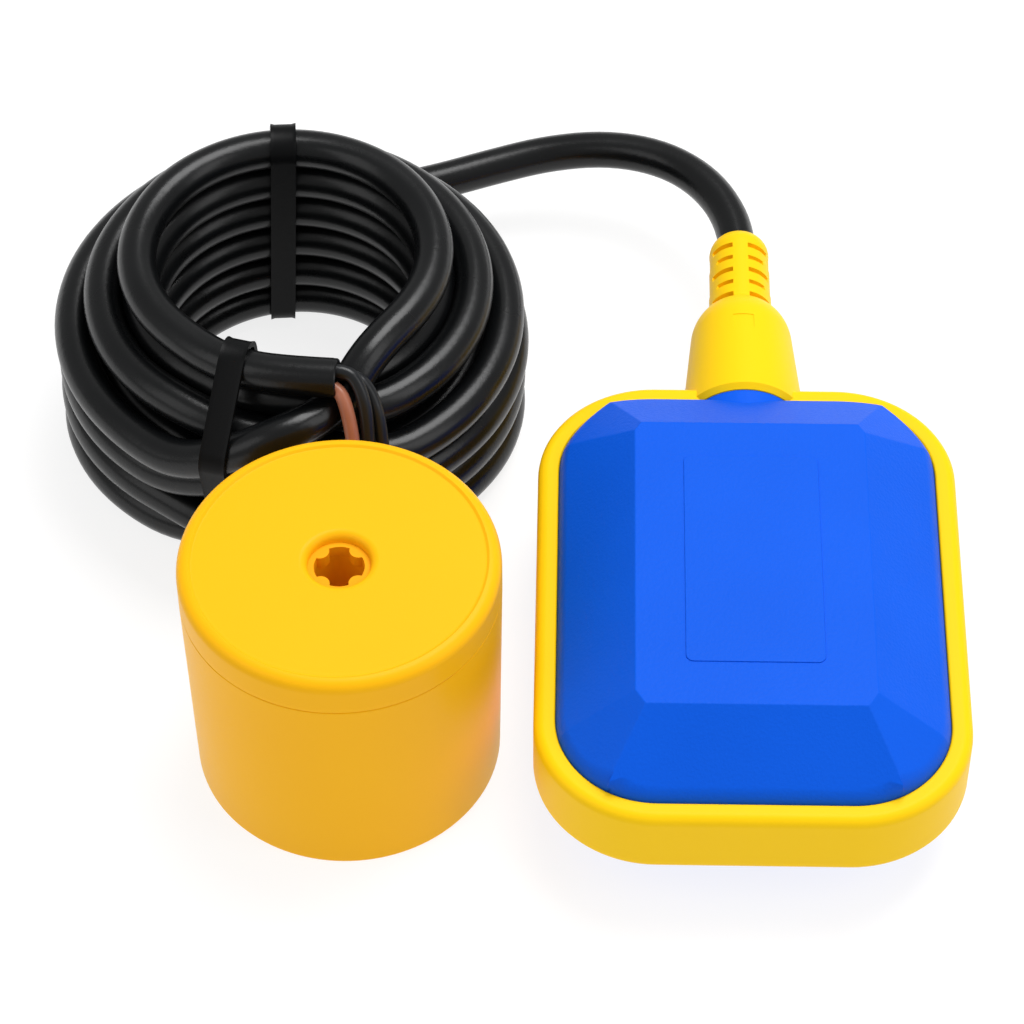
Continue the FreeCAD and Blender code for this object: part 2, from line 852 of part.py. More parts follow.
def make_cable_tie(angle, head_height, reach=0):
    """Strap drawn round the coil's section, with its ratchet head on the outside.

    A reach leaves room for the cord where it comes away from the coil under the strap.
    """
    loop = hull_face(tie_thickness, reach).extrude(V(0, tie_width, 0))
    hollow = hull_face(0, reach).extrude(V(0, tie_width, 0))
    loop = loop.cut(hollow)
    loop.translate(V(0, -tie_width / 2, 0))
    outside = coil_outer_turn + cord_radius + reach
    head = box(
        outside,
        outside + tie_head.z,
        -tie_head.y / 2,
        tie_head.y / 2,
        head_height,
        head_height + tie_head.x,
    )
    tie = loop.fuse(head)
    tie.rotate(V(0, 0, 0), Z_AXIS, angle)
    tie.translate(coil_centre)
    return tie.cut(make_cord_coil()).removeSplitter()


def make_cable_entry():
    length = entry_outer_end - entry_inner_end
    return cylinder(cord_radius, length, V(0, entry_inner_end, mid_z), Y_AXIS)


def make_bare_core(route):
    return bent_tube(route, core_radius)[0]


# ---- counterweight ---------------------------------------------------------------
seam_z = weight_height - lid_height
lid_field_radius = weight_radius - lid_rim_width
ring_low = weight_height - recess_depth - ring_height
tube_radius = bore_radius + bore_wall


def turned(points):
    """Solid of revolution about Z from a closed outline of (radius, height) pairs."""
    return polygon_face([V(r, 0, z) for r, z in points]).revolve(V(0, 0, 0), Z_AXIS, 360)


def circles_at(shape, radius, z):
    return [
        edge
        for edge in shape.Edges
        if edge.Closed
        and abs(edge.Vertexes[0].Z - z) < 1e-4
        and abs(math.hypot(edge.Vertexes[0].X, edge.Vertexes[0].Y) - radius) < 1e-4
    ]


def make_counterweight_body():
    """Tub with a slight draft and the cord's tube moulded up its middle."""
    tub = turned([
        (bore_radius, 0),
        (weight_foot_radius, 0),
        (weight_radius, seam_z),
        (weight_radius - weight_wall, seam_z),
        (weight_foot_radius - weight_wall, weight_wall),
        (tube_radius, weight_wall),
        (tube_radius, ring_low - fit_gap),
        (bore_radius, ring_low - fit_gap),
    ])
    tub = tub.makeFillet(weight_foot_edge, circles_at(tub, weight_foot_radius, 0))
    tub.translate(weight_centre)
    return tub


def make_counterweight_lid():
    """Cap with a raised rim, a dished recess at the middle and a spigot into the tub."""
    spigot = weight_radius - weight_wall - fit_gap
    under = weight_height - lid_plate
    field = weight_height - lid_field_depth
    recess_floor = weight_height - recess_depth
    socket = tube_radius + fit_gap
    lid = turned([
        (socket, seam_z - spigot_depth),
        (socket + weight_wall, seam_z - spigot_depth),
        (socket + weight_wall, under),
        (spigot - weight_wall, under),
        (spigot - weight_wall, seam_z - spigot_depth),
        (spigot, seam_z - spigot_depth),
        (spigot, seam_z),
        (weight_radius, seam_z),
        (weight_radius, weight_height),
        (lid_field_radius, weight_height),
        (lid_field_radius - lid_field_depth, field),
        (recess_radius, field),
        (recess_radius, recess_floor),
        (socket, recess_floor),
    ])
    lid = lid.makeFillet(lid_edge, circles_at(lid, weight_radius, weight_height))
    lid = lid.makeFillet(recess_lip, circles_at(lid, recess_radius, field))
    lid.translate(weight_centre)
    return lid


def make_cord_stop_ring():
    """Ring in the lid whose four teeth grip the cord."""
    disc = cylinder(tube_radius, ring_height, V(0, 0, ring_low), Z_AXIS)
    hole = cylinder(lobe_radius, BIG, V(0, 0, 0), Z_AXIS)
    for angle in tooth_angles:
        turn = math.radians(angle)
        centre = V(tooth_reach * math.cos(turn), tooth_reach * math.sin(turn), 0)
        hole = hole.cut(cylinder(tooth_radius, BIG, centre, Z_AXIS))
    ring = disc.cut(hole)
    ring.translate(weight_centre)
    return ring


def make_ballast():
    """Cast ring that loads the tub's floor."""
    ballast = turned([
        (tube_radius + running_gap, weight_wall),
        (weight_foot_radius - weight_wall - running_gap, weight_wall),
        (weight_foot_radius - weight_wall - running_gap, weight_wall + ballast_height),
        (tube_radius + running_gap, weight_wall + ballast_height),
    ])
    ballast.translate(weight_centre)
    return ballast


# ---- export ----------------------------------------------------------------------
def build():
    tube, radii, ratio, length = bent_tube(cord_route, cord_radius)
    diameters = ", ".join("%.1f" % (radius / (2 * cord_radius)) for radius in radii)
    print("cord length %.1f, volume ratio %.4f" % (length, ratio))
    print("cord bend radii in diameters: " + diameters)
    print("ball travel %.3f, plunger travel %.3f" % (ball_travel, plunger_ratio * ball_travel))
    print("lever pin at y %.2f z %.2f, blade pivot at x %.2f y %.2f z %.2f" % (
        pivot_y, pivot_z, blade_pivot_x, blade_y + blade_thickness / 2, plunger_z))
    back_head = coil_low + 2.4 * coil_pitch
    front_head = coil_low
    return {
        "float_frame": make_float_frame(),
        "upper_shell": make_upper_shell(),
        "lower_shell": make_lower_shell(),
        "mechanism_tray": make_mechanism_tray(),
        "mechanism_lid": make_mechanism_lid(),
        "steel_ball": make_steel_ball(),
        "rocker_lever": make_rocker_lever(),
        "lever_pin": make_lever_pin(),
        "microswitch_case": make_microswitch_case(),
        "microswitch_cover": make_microswitch_cover(),
        "plunger": make_plunger(),
        "contact_blade": make_contact_blade(),
        "common_terminal": make_common_terminal(),
        "normally_closed_terminal": make_normally_closed_terminal(),
        "normally_open_terminal": make_normally_open_terminal(),
        "lead_common": make_lead(common_x, -1.8),
        "lead_normally_open": make_lead(open_x, 0.0),
        "lead_normally_closed": make_lead(closed_x, 1.8),
        "cable_seal": make_cable_seal(),
        "clamp_bar": make_clamp_bar(),
        "clamp_screws": make_clamp_screws(),
        "cable_entry": make_cable_entry(),
        "cord_tube": tube,
        "cord_coil": make_cord_coil(),
        "cord_end": bent_tube(cord_end_route, cord_radius)[0],
        "cable_tie_back": make_cable_tie(tie_back_angle, back_head, tie_cord_room),
        "cable_tie_front": make_cable_tie(tie_front_angle, front_head),
        "brown_core": make_bare_core(brown_core_route),
        "black_core_inner": make_bare_core(black_core_inner_route),
        "black_core_outer": make_bare_core(black_core_outer_route),
        "counterweight_body": make_counterweight_body(),
        "counterweight_lid": make_counterweight_lid(),
        "cord_stop_ring": make_cord_stop_ring(),
        "counterweight_ballast": make_ballast(),
    }


os.makedirs("parts", exist_ok=True)
for node, shape in build().items():
    shape.exportStep("parts/%s.step" % node)
    print("%-26s solids %d valid %s volume %.1f" % (node, len(shape.Solids), shape.isValid(), shape.Volume))
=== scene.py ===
# %% [markdown]
# # A cable float level switch
# The switch is a flat sealed float on a rubber cord, with a weight that is threaded on
# the cord to set the height at which the float tips over. This lesson dresses the packed
# CAD model: the shells, the frame, the weight, the straps and the cord are modelled here,
# and the mechanism inside the float keeps its CAD shapes and only gets its finishes.

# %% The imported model
import math
import random

import bmesh
import bpy
from mathutils import Matrix, Vector


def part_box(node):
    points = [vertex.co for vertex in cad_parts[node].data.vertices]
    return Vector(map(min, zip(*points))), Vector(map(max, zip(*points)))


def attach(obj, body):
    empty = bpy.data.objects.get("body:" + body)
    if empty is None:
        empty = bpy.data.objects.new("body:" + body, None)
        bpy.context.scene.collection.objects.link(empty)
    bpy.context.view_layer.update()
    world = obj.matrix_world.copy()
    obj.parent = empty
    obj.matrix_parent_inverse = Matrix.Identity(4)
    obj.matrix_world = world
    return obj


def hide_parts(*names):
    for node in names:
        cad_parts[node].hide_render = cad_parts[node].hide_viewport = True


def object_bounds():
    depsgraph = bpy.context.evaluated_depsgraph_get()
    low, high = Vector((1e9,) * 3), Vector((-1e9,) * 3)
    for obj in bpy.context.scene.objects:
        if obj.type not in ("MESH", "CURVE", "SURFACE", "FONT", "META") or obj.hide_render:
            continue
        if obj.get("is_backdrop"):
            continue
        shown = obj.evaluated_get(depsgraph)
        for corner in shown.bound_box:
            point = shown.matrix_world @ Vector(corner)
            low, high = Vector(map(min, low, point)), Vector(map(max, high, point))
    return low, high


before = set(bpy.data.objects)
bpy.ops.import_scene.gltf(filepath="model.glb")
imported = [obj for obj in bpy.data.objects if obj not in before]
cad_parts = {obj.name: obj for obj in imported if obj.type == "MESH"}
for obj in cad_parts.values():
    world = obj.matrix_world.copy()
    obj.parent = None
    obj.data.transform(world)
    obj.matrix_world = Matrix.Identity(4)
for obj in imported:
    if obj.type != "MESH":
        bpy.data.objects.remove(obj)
cad_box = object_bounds()
MM = 0.001
UP = Vector((0, 0, 1))
print("CAD box, millimetres:", [[round(x / MM, 1) for x in corner] for corner in cad_box])

# %% [markdown]
# ## Camera
# The camera looks down steeply from in front through a long lens, so that nearly
# parallel edges stay parallel. It is made first, because the cord is laid to suit it.
# A tilt about X, a small turn about Z and a very small roll say where it looks.

# %% Camera
LENS = 133.7
SENSOR = 36
LOOK_DOWN = math.radians(50)
TURN = 0.024
ROLL = -0.006
CAMERA_PLACE = Vector((-33.65, -445.08, 581.4)) * MM


def add_camera():
    data = bpy.data.cameras.new("camera")
    data.lens = LENS
    data.sensor_width = SENSOR
    camera = bpy.data.objects.new("camera", data)
    bpy.context.collection.objects.link(camera)
    turn = Matrix.Rotation(TURN, 4, "Z")
    tilt = Matrix.Rotation(math.pi / 2 - LOOK_DOWN, 4, "X")
    roll = Matrix.Rotation(ROLL, 4, "Z")
    place = Matrix.Translation(CAMERA_PLACE)
    camera.matrix_world = place @ turn @ tilt @ roll
    bpy.context.scene.camera = camera
    print("camera at, metres:", [round(x, 3) for x in CAMERA_PLACE])


add_camera()

# %% [markdown]
# ## Floor and light
# The floor is a plain pale sheet, lit from below like a light table, so that it stays
# nearly white and only takes soft shadows. The light is that of a white tent: an even
# white world, one large panel above and behind on the right, which gives the tops their
# brightness and the cord its long highlights, and a smaller panel on each side.

# %% Floor
FLOOR_HALF = 6
FLOOR_GREY = 0.24
FLOOR_GLOW = 0.82


def plain_floor():
    material = bpy.data.materials.new("pale_floor")
    material.use_nodes = True
    shader = material.node_tree.nodes["Principled BSDF"]
    shader.inputs["Base Color"].default_value = (FLOOR_GREY, FLOOR_GREY, FLOOR_GREY, 1)
    shader.inputs["Roughness"].default_value = 0.9
    shader.inputs["Specular IOR Level"].default_value = 0.05
    shader.inputs["Emission Color"].default_value = (1, 1, 1, 1)
    shader.inputs["Emission Strength"].default_value = FLOOR_GLOW
    bm = bmesh.new()
    bmesh.ops.create_grid(bm, x_segments=1, y_segments=1, size=FLOOR_HALF)
    mesh = bpy.data.meshes.new("floor")
    bm.to_mesh(mesh)
    bm.free()
    mesh.materials.append(material)
    floor = bpy.data.objects.new("floor", mesh)
    bpy.context.collection.objects.link(floor)
    floor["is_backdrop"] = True


plain_floor()

# %% Light
WORLD_LIGHT = 0.42
AIM = Vector((-0.04, 0.02, 0.02))
# Place, size and watts of each panel.
PANELS = {
    "over": ((0.25, 0.45, 1.3), (0.8, 0.8), 16.5),
    "left": ((-1.0, -0.5, 0.8), (0.7, 1.0), 2.6),
    "right": ((1.0, -0.4, 0.9), (0.5, 1.1), 3.6),
}


def light_scene():
    world = bpy.data.worlds.new("white_tent")
    world.use_nodes = True
    background = world.node_tree.nodes["Background"]
    background.inputs["Color"].default_value = (1, 1, 1, 1)
    background.inputs["Strength"].default_value = WORLD_LIGHT
    bpy.context.scene.world = world
    bpy.context.scene.view_settings.view_transform = "Standard"
    for name, (place, size, watts) in PANELS.items():
        data = bpy.data.lights.new(name, "AREA")
        data.shape = "RECTANGLE"
        data.size, data.size_y = size
        data.energy = watts
        panel = bpy.data.objects.new(name, data)
        bpy.context.collection.objects.link(panel)
        panel.location = place
        panel.rotation_euler = (AIM - panel.location).to_track_quat("-Z", "Y").to_euler()
    print("panels:", len(PANELS))


light_scene()

# %% [markdown]
# ## Shader arithmetic
# A finish is a small sum of patterns, and sums read best as sums. `Number` wraps the
# socket that carries a number, and its operators add the Math nodes. `Finish` holds one
# material and adds every other kind of node with a single method, which sets the node's
# own settings first and then the values or links of its sockets.

# %% Numbers in a shader


class Number:
    """A number that changes over a surface, for use in ordinary expressions."""

    def __init__(self, tree, socket):
        self.tree = tree
        self.socket = socket

    def _math(self, operation, first, second):
        node = self.tree.nodes.new("ShaderNodeMath")
        node.operation = operation
        for socket, value in zip(node.inputs, (first, second)):
            if isinstance(value, Number):
                self.tree.links.new(value.socket, socket)
            else:
                socket.default_value = value
        return Number(self.tree, node.outputs[0])

    def __add__(self, other):
        return self._math("ADD", self, other)

    __radd__ = __add__

    def __sub__(self, other):
        return self._math("SUBTRACT", self, other)

    def __rsub__(self, other):
        return self._math("SUBTRACT", other, self)

    def __mul__(self, other):
        return self._math("MULTIPLY", self, other)

    __rmul__ = __mul__


# %% Finishes


class Finish:
    """One material: its Principled shader and the patterns that feed it."""

    def __init__(self, name, **shader):
        self.material = bpy.data.materials.new(name)
        self.material.use_nodes = True
        self.tree = self.material.node_tree
        self.shader = self.tree.nodes["Principled BSDF"]
        for socket, value in shader.items():
            self.feed(socket.replace("_", " "), value)
        self.place = self.node("ShaderNodeTexCoord").outputs["Object"]

    def connect(self, socket, value):
        if isinstance(value, Number):
            value = value.socket
        if isinstance(value, bpy.types.NodeSocket):
            self.tree.links.new(value, socket)
        else:
            socket.default_value = value

    def feed(self, socket, value):
        self.connect(self.shader.inputs[socket], value)

    def node(self, kind, settings=None, **sockets):
        node = self.tree.nodes.new(kind)
        for setting, value in (settings or {}).items():
            setattr(node, setting, value)
        for socket, value in sockets.items():
            self.connect(node.inputs[socket.replace("_", " ")], value)
        return node

    def noise(self, scale, detail=3.0, roughness=0.5):
        """Cloudy pattern with this many features per metre, from 0 to 1."""
        node = self.node(
            "ShaderNodeTexNoise",
            Vector=self.place,
            Scale=scale,
            Detail=detail,
            Roughness=roughness,
        )
        return Number(self.tree, node.outputs["Fac"])

    def cells(self, scale):
        """Distance to the nearest of scattered points, this many per metre."""
        node = self.node("ShaderNodeTexVoronoi", Vector=self.place, Scale=scale)
        return Number(self.tree, node.outputs["Distance"])

    def blend(self, factor, first, second):
        node = self.node("ShaderNodeMix", {"data_type": "RGBA"})
        self.connect(node.inputs["Factor"], factor)
        self.connect(node.inputs[6], (*first, 1))
        self.connect(node.inputs[7], (*second, 1))
        return node.outputs[2]

    def bump(self, height, depth):
        node = self.node("ShaderNodeBump", Height=height, Distance=depth, Strength=1.0)
        self.feed("Normal", node.outputs["Normal"])


# %% [markdown]
# ## Plastics
# All the shells are moulded. The weight's yellow is warm and the frame's is nearer to
# lemon. Both are smooth, slightly waxy plastics, whose colour drifts a little where the
# melt flowed. The blue is moulded against a spark-eroded steel
# tool, so it has a fine leathery grain: a coarse cell pattern under a fine noise.

# %% Moulded plastics
FINE_GRAIN = 0.02 * MM


def moulded(name, light, dark, roughness, grain_scale, grain_depth=FINE_GRAIN, gloss=0.08):
    """Smooth plastic between two colours, with this many grains per metre."""
    finish = Finish(name, IOR=1.5, Specular_IOR_Level=gloss)
    drift = finish.noise(22, 2)
    finish.feed("Base Color", finish.blend(drift, dark, light))
    grain = finish.noise(grain_scale, 4, 0.6)
    finish.feed("Roughness", roughness + (grain - 0.5) * 0.16)
    finish.bump(grain + finish.noise(grain_scale / 9, 2) * 0.8, grain_depth)
    return finish.material


def spark_eroded_blue():
    finish = Finish("spark_eroded_blue", IOR=1.5, Specular_IOR_Level=0.07)
    drift = finish.noise(30, 2)
    finish.feed("Base Color", finish.blend(drift, (0.003, 0.092, 0.66), (0.004, 0.108, 0.76)))
    leather = finish.cells(1500) * 0.6 + finish.noise(3400, 3) * 0.7
    finish.feed("Roughness", 0.38 + leather * 0.12)
    finish.bump(leather, 0.05 * MM)
    return finish.material


WARM_YELLOW = moulded("warm_yellow", (0.98, 0.50, 0.006), (0.95, 0.46, 0.005), 0.36, 1400)
LEMON_YELLOW = moulded("lemon_yellow", (0.985, 0.63, 0.006), (0.97, 0.59, 0.005), 0.4, 1400)
# The stop ring's yellow is the lid's yellow made deeper and more orange: painted shade for the
# bottom of the lid's recess, where the ring sits.
STOP_SHADED_YELLOW = moulded("stop_orange", (0.90, 0.40, 0.005), (0.86, 0.36, 0.004), 0.42, 1400)
BLUE = spark_eroded_blue()
NATURAL = moulded(
    "natural_plastic", (0.78, 0.78, 0.74), (0.70, 0.70, 0.65), 0.45, 900, 0.03 * MM
)
BLACK_CASE = moulded("black_case", (0.02, 0.02, 0.02), (0.014, 0.014, 0.014), 0.4, 1200)
RED_CASE = moulded("red_case", (0.55, 0.03, 0.02), (0.46, 0.02, 0.015), 0.4, 1200)

# %% [markdown]
# ## Rubber, nylon and core insulation
# The cord's sheath is black rubber with a low sheen that turns grey in its highlights.
# Handling leaves it unevenly dull, so a slow noise moves its roughness and a fine one
# breaks up its surface. The straps are smoother nylon, and the cores are glossy.

# %% Flexible finishes


def black_rubber():
    finish = Finish("black_rubber", IOR=1.52, Specular_IOR_Level=0.3)
    dull = finish.noise(60, 3)
    finish.feed("Base Color", finish.blend(dull, (0.002, 0.0023, 0.0026), (0.0045, 0.005, 0.0055)))
    finish.feed("Roughness", 0.2 + dull * 0.16)
    finish.bump(finish.noise(900, 3) + finish.noise(120, 2) * 0.7, 0.03 * MM)
    return finish.material


def drawn_core(name, light, dark):
    finish = Finish(name, IOR=1.48, Specular_IOR_Level=0.35)
    finish.feed("Base Color", finish.blend(finish.noise(160, 3), dark, light))
    finish.feed("Roughness", 0.24 + finish.noise(400, 2) * 0.14)
    finish.bump(finish.noise(700, 2), 0.03 * MM)
    return finish.material


RUBBER = black_rubber()
NYLON = moulded(
    "black_nylon", (0.004, 0.0042, 0.0045), (0.0025, 0.0027, 0.003), 0.42, 700, gloss=0.1
)
BROWN_CORE = drawn_core("brown_core", (0.44, 0.17, 0.10), (0.32, 0.11, 0.06))
BLACK_CORE = drawn_core("black_core", (0.012, 0.013, 0.015), (0.006, 0.007, 0.008))

# %% [markdown]
# ## Metals
# The mechanism has a polished ball, bright screws, brass contacts and an iron ballast.
# Each metal gets its own grain, because a bare metallic colour looks like paint.

# %% Metals


def metal(name, light, dark, roughness, scale, depth):
    """Metal between two colours; the grain's scale is per metre, its depth in metres."""
    finish = Finish(name, Metallic=1.0)
    grain = finish.noise(scale, 4, 0.6)
    finish.feed("Base Color", finish.blend(grain, dark, light))
    finish.feed("Roughness", roughness + grain * 0.15)
    finish.bump(grain, depth)
    return finish.material


POLISHED_STEEL = metal(
    "polished_steel", (0.72, 0.73, 0.75), (0.62, 0.63, 0.65), 0.06, 500, 0.004 * MM
)
BRIGHT_STEEL = metal("bright_steel", (0.6, 0.6, 0.62), (0.48, 0.48, 0.5), 0.25, 900, 0.01 * MM)
BRASS = metal("contact_brass", (0.85, 0.6, 0.24), (0.72, 0.48, 0.16), 0.2, 800, 0.01 * MM)
CAST_IRON = metal("cast_iron", (0.2, 0.2, 0.21), (0.1, 0.1, 0.105), 0.55, 420, 0.15 * MM)

NODE_FINISHES = {
    "mechanism_tray": NATURAL,
    "mechanism_lid": NATURAL,
    "clamp_bar": NATURAL,
    "rocker_lever": NATURAL,
    "steel_ball": POLISHED_STEEL,
    "lever_pin": BRIGHT_STEEL,
    "clamp_screws": BRIGHT_STEEL,
    "microswitch_case": BLACK_CASE,
    "microswitch_cover": RED_CASE,
    "plunger": RED_CASE,
    "contact_blade": BRASS,
    "common_terminal": BRASS,
    "normally_closed_terminal": BRASS,
    "normally_open_terminal": BRASS,
    "lead_common": BROWN_CORE,
    "lead_normally_open": BLACK_CORE,
    "lead_normally_closed": BLACK_CORE,
    "cable_seal": RUBBER,
    "cable_entry": RUBBER,
    "counterweight_ballast": CAST_IRON,
}
for node, finish in NODE_FINISHES.items():
    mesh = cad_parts[node].data
    mesh.materials.clear()
    mesh.materials.append(finish)
print("CAD nodes that keep their shape:", len(NODE_FINISHES))

# %% [markdown]
# ## Helpers for making pieces
# Every piece starts as a bmesh. `piece` turns one into an object, smooths it except at
# its real edges, hangs it on the housing's body and hides the CAD nodes it stands for.
# `combine` cuts or joins closed meshes with the exact Boolean modifier.

# %% Pieces
SAME_PLACE = 1e-7


def piece(name, mesh, finish, nodes, crease=32):
    """Shown object for these CAD nodes; edges sharper than the crease stay sharp."""
    mesh.materials.clear()
    mesh.materials.append(finish)
    mesh.shade_smooth()
    mesh.set_sharp_from_angle(angle=math.radians(crease))
    thing = bpy.data.objects.new(name, mesh)
    bpy.context.collection.objects.link(thing)
    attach(thing, "housing")
    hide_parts(*nodes)
    even = thing.modifiers.new("even", "WEIGHTED_NORMAL")
    even.keep_sharp = True
    print(name, "faces:", len(mesh.polygons))
    return thing


def mesh_from(bm, name):
    bmesh.ops.remove_doubles(bm, verts=bm.verts[:], dist=SAME_PLACE)
    bmesh.ops.recalc_face_normals(bm, faces=bm.faces[:])
    mesh = bpy.data.meshes.new(name)
    bm.to_mesh(mesh)
    bm.free()
    return mesh


def combine(mesh, operation, *others):
    """Mesh with the others joined to it or cut from it."""
    base = bpy.data.objects.new("base", mesh)
    bpy.context.collection.objects.link(base)
    tools = []
    for other in others:
        tool = bpy.data.objects.new("tool", other)
        bpy.context.collection.objects.link(tool)
        modifier = base.modifiers.new("combine", "BOOLEAN")
        modifier.operation = operation
        modifier.solver = "EXACT"
        modifier.object = tool
        tools.append(tool)
    graph = bpy.context.evaluated_depsgraph_get()
    result = bpy.data.meshes.new_from_object(base.evaluated_get(graph))
    for thing in [base] + tools:
        bpy.data.objects.remove(thing)
    return result


def edit(mesh):
    bm = bmesh.new()
    bm.from_mesh(mesh)
    return bm


# %% [markdown]
# Most forms here are either rounded blocks or turned parts. A rounded block is a cube
# whose upright edges are bevelled. A turned part is an outline spun about an axis, and
# its round stretches are arcs through three points.

# %% Rounded blocks and turned parts
LEVEL = 1e-6


def round_off(bm, edges, radius, segments, clamp=True):
    bmesh.ops.bevel(
        bm,
        geom=edges,
        offset=radius,
        offset_type="OFFSET",
        segments=segments,
        profile=0.5,
        affect="EDGES",
        clamp_overlap=clamp,
        material=-1,
    )


def rounded_block(width, length, corner, low, high, segments):
    """Block centred on the upright axis, with rounded upright edges."""
    bm = bmesh.new()
    bmesh.ops.create_cube(bm, size=1)
    bmesh.ops.scale(bm, vec=(width, length, high - low), verts=bm.verts)
    bmesh.ops.translate(bm, vec=(0, 0, (low + high) / 2), verts=bm.verts)
    uprights = [e for e in bm.edges if abs(e.verts[0].co.z - e.verts[1].co.z) > LEVEL]
    round_off(bm, uprights, corner, segments)
    return bm


def arc(start, middle, end, steps):
    """Points of the circle's arc from start through middle to end, start left out."""
    a, b, c = (Vector(point) for point in (start, middle, end))
    turn = 2 * (a.x * (b.y - c.y) + b.x * (c.y - a.y) + c.x * (a.y - b.y))
    squares = [point.length_squared for point in (a, b, c)]
    x = squares[0] * (b.y - c.y) + squares[1] * (c.y - a.y) + squares[2] * (a.y - b.y)
    y = squares[0] * (c.x - b.x) + squares[1] * (a.x - c.x) + squares[2] * (b.x - a.x)
    centre = Vector((x / turn, y / turn))
    first = math.atan2(*(a - centre).yx)
    sweep = math.atan2(*(c - centre).yx) - first
    if (turn < 0) != (sweep < 0):
        sweep += math.copysign(2 * math.pi, turn)
    radius = (a - centre).length
    points = []
    for step in range(1, steps + 1):
        angle = first + sweep * step / steps
        points.append((centre.x + radius * math.cos(angle), centre.y + radius * math.sin(angle)))
    return points


def spun(outline, axis, centre, place, steps):
    """Closed outline turned once about an axis; place says where its points lie."""
    bm = bmesh.new()
    verts = [bm.verts.new(place(*point)) for point in outline]
    edges = [bm.edges.new(pair) for pair in zip(verts, verts[1:] + verts[:1])]
    bmesh.ops.spin(
        bm,
        geom=verts + edges,
        axis=axis,
        cent=centre,
        angle=2 * math.pi,
        steps=steps,
        use_merge=True,
    )
    return bm


def cylinder(radius, start, end, segments=96):
    start, end = Vector(start), Vector(end)
    bm = bmesh.new()
    along = end - start
    turn = UP.rotation_difference(along).to_matrix().to_4x4()
    bmesh.ops.create_cone(
        bm,
        cap_ends=True,
        segments=segments,
        radius1=radius,
        radius2=radius,
        depth=along.length,
        matrix=Matrix.Translation((start + end) / 2) @ turn,
    )
    return bm


# %% [markdown]
# ## The float's shells
# Each shell is a shallow dome with a flat top, four long sloping facets and a narrow one
# at each corner. It is made as a toolmaker would cut it: a rounded block is trimmed by
# one plane for each facet, and then the ridges and the rim are rounded. The inside is
# the same dome moved in by the wall's thickness, joined to the outside at the parting
# plane, and the cord's half-round tongue is joined on last.

# %% Sizes of the float
low_corner, high_corner = (Vector(corner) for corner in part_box("float_frame"))
FLOAT_WIDTH = high_corner.x - low_corner.x
BAND_LIP = 4.0 * MM
BAND_LOW, BAND_HIGH = 12.8 * MM, 27.9 * MM
MID = (BAND_LOW + BAND_HIGH) / 2
FLOAT_LENGTH = 104 * MM
CORNER = 22.5 * MM
TOP = 40.7 * MM
SHELL_WIDTH = FLOAT_WIDTH - 2 * BAND_LIP
SHELL_LENGTH = FLOAT_LENGTH - 2 * BAND_LIP
SHELL_CORNER = CORNER - BAND_LIP
RIM = BAND_HIGH + 1.1 * MM
WALL = 2.4 * MM
# The flat top: its half width, where it ends in front and at the back, and how much its
# corners are cut at each end, by facets that stand at a slant to the sides.
FLAT_HALF = 21.7 * MM
FLAT_ENDS = {-1: -35.4 * MM, 1: 31.2 * MM}
CHAMFERS = {-1: 2.9 * MM, 1: 2.0 * MM}
SLANT = 0.62
TOP_ROUND, RIM_ROUND = 0.8 * MM, 2.3 * MM
# The half-round tongue that holds the cord's seal.
TONGUE = 11.0 * MM
TONGUE_START, TONGUE_END = 20 * MM, 56 * MM
TONGUE_BORE = 6.2 * MM
print("shell, millimetres:", round(SHELL_WIDTH / MM, 1), "by", round(SHELL_LENGTH / MM, 1))

# %% The dome
# A rim edge has both ends this near to the wall and climbs by less than this share.
NEAR_WALL, RIM_SLOPE = 0.05 * MM, 0.7


def facet_planes():
    """Point, and outward normal, of each sloping facet."""
    drop = TOP - RIM
    half_width, half_length = SHELL_WIDTH / 2, SHELL_LENGTH / 2
    facets = []
    for side in (-1, 1):
        facets.append((side * FLAT_HALF, 0, side, 0, half_width - FLAT_HALF))
    for end, y in FLAT_ENDS.items():
        facets.append((0, y, 0, end, half_length - end * y))
    for side in (-1, 1):
        for end, y in FLAT_ENDS.items():
            nx, ny = Vector((side, end * SLANT)).normalized()
            x, y = side * FLAT_HALF, y - end * CHAMFERS[end]
            reach = (half_width - SHELL_CORNER) * abs(nx) + (half_length - SHELL_CORNER) * abs(ny)
            facets.append((x, y, nx, ny, reach + SHELL_CORNER - x * nx - y * ny))
    return [
        (Vector((x, y, TOP)), Vector((nx * drop / run, ny * drop / run, 1)).normalized())
        for x, y, nx, ny, run in facets
    ]


def dome(inset, segments):
    """The trimmed block, with every face moved in by the inset."""
    bm = rounded_block(
        SHELL_WIDTH - 2 * inset,
        SHELL_LENGTH - 2 * inset,
        SHELL_CORNER - inset,
        MID,
        TOP - inset,
        segments,
    )
    for point, normal in facet_planes():
        cut = bmesh.ops.bisect_plane(
            bm,
            geom=bm.verts[:] + bm.edges[:] + bm.faces[:],
            dist=SAME_PLACE,
            plane_co=point - normal * inset,
            plane_no=normal,
            clear_outer=True,
        )
        edges = [item for item in cut["geom_cut"] if isinstance(item, bmesh.types.BMEdge)]
        bmesh.ops.edgeloop_fill(bm, edges=edges)
    bmesh.ops.dissolve_degenerate(bm, dist=2e-6, edges=bm.edges[:])
    return bm


def past_wall(vert):
    """How far a vertex lies outside the shells' upright wall, seen from above."""
    x = abs(vert.co.x) - (SHELL_WIDTH / 2 - SHELL_CORNER)
    y = abs(vert.co.y) - (SHELL_LENGTH / 2 - SHELL_CORNER)
    return math.hypot(max(x, 0), max(y, 0)) + min(max(x, y), 0) - SHELL_CORNER


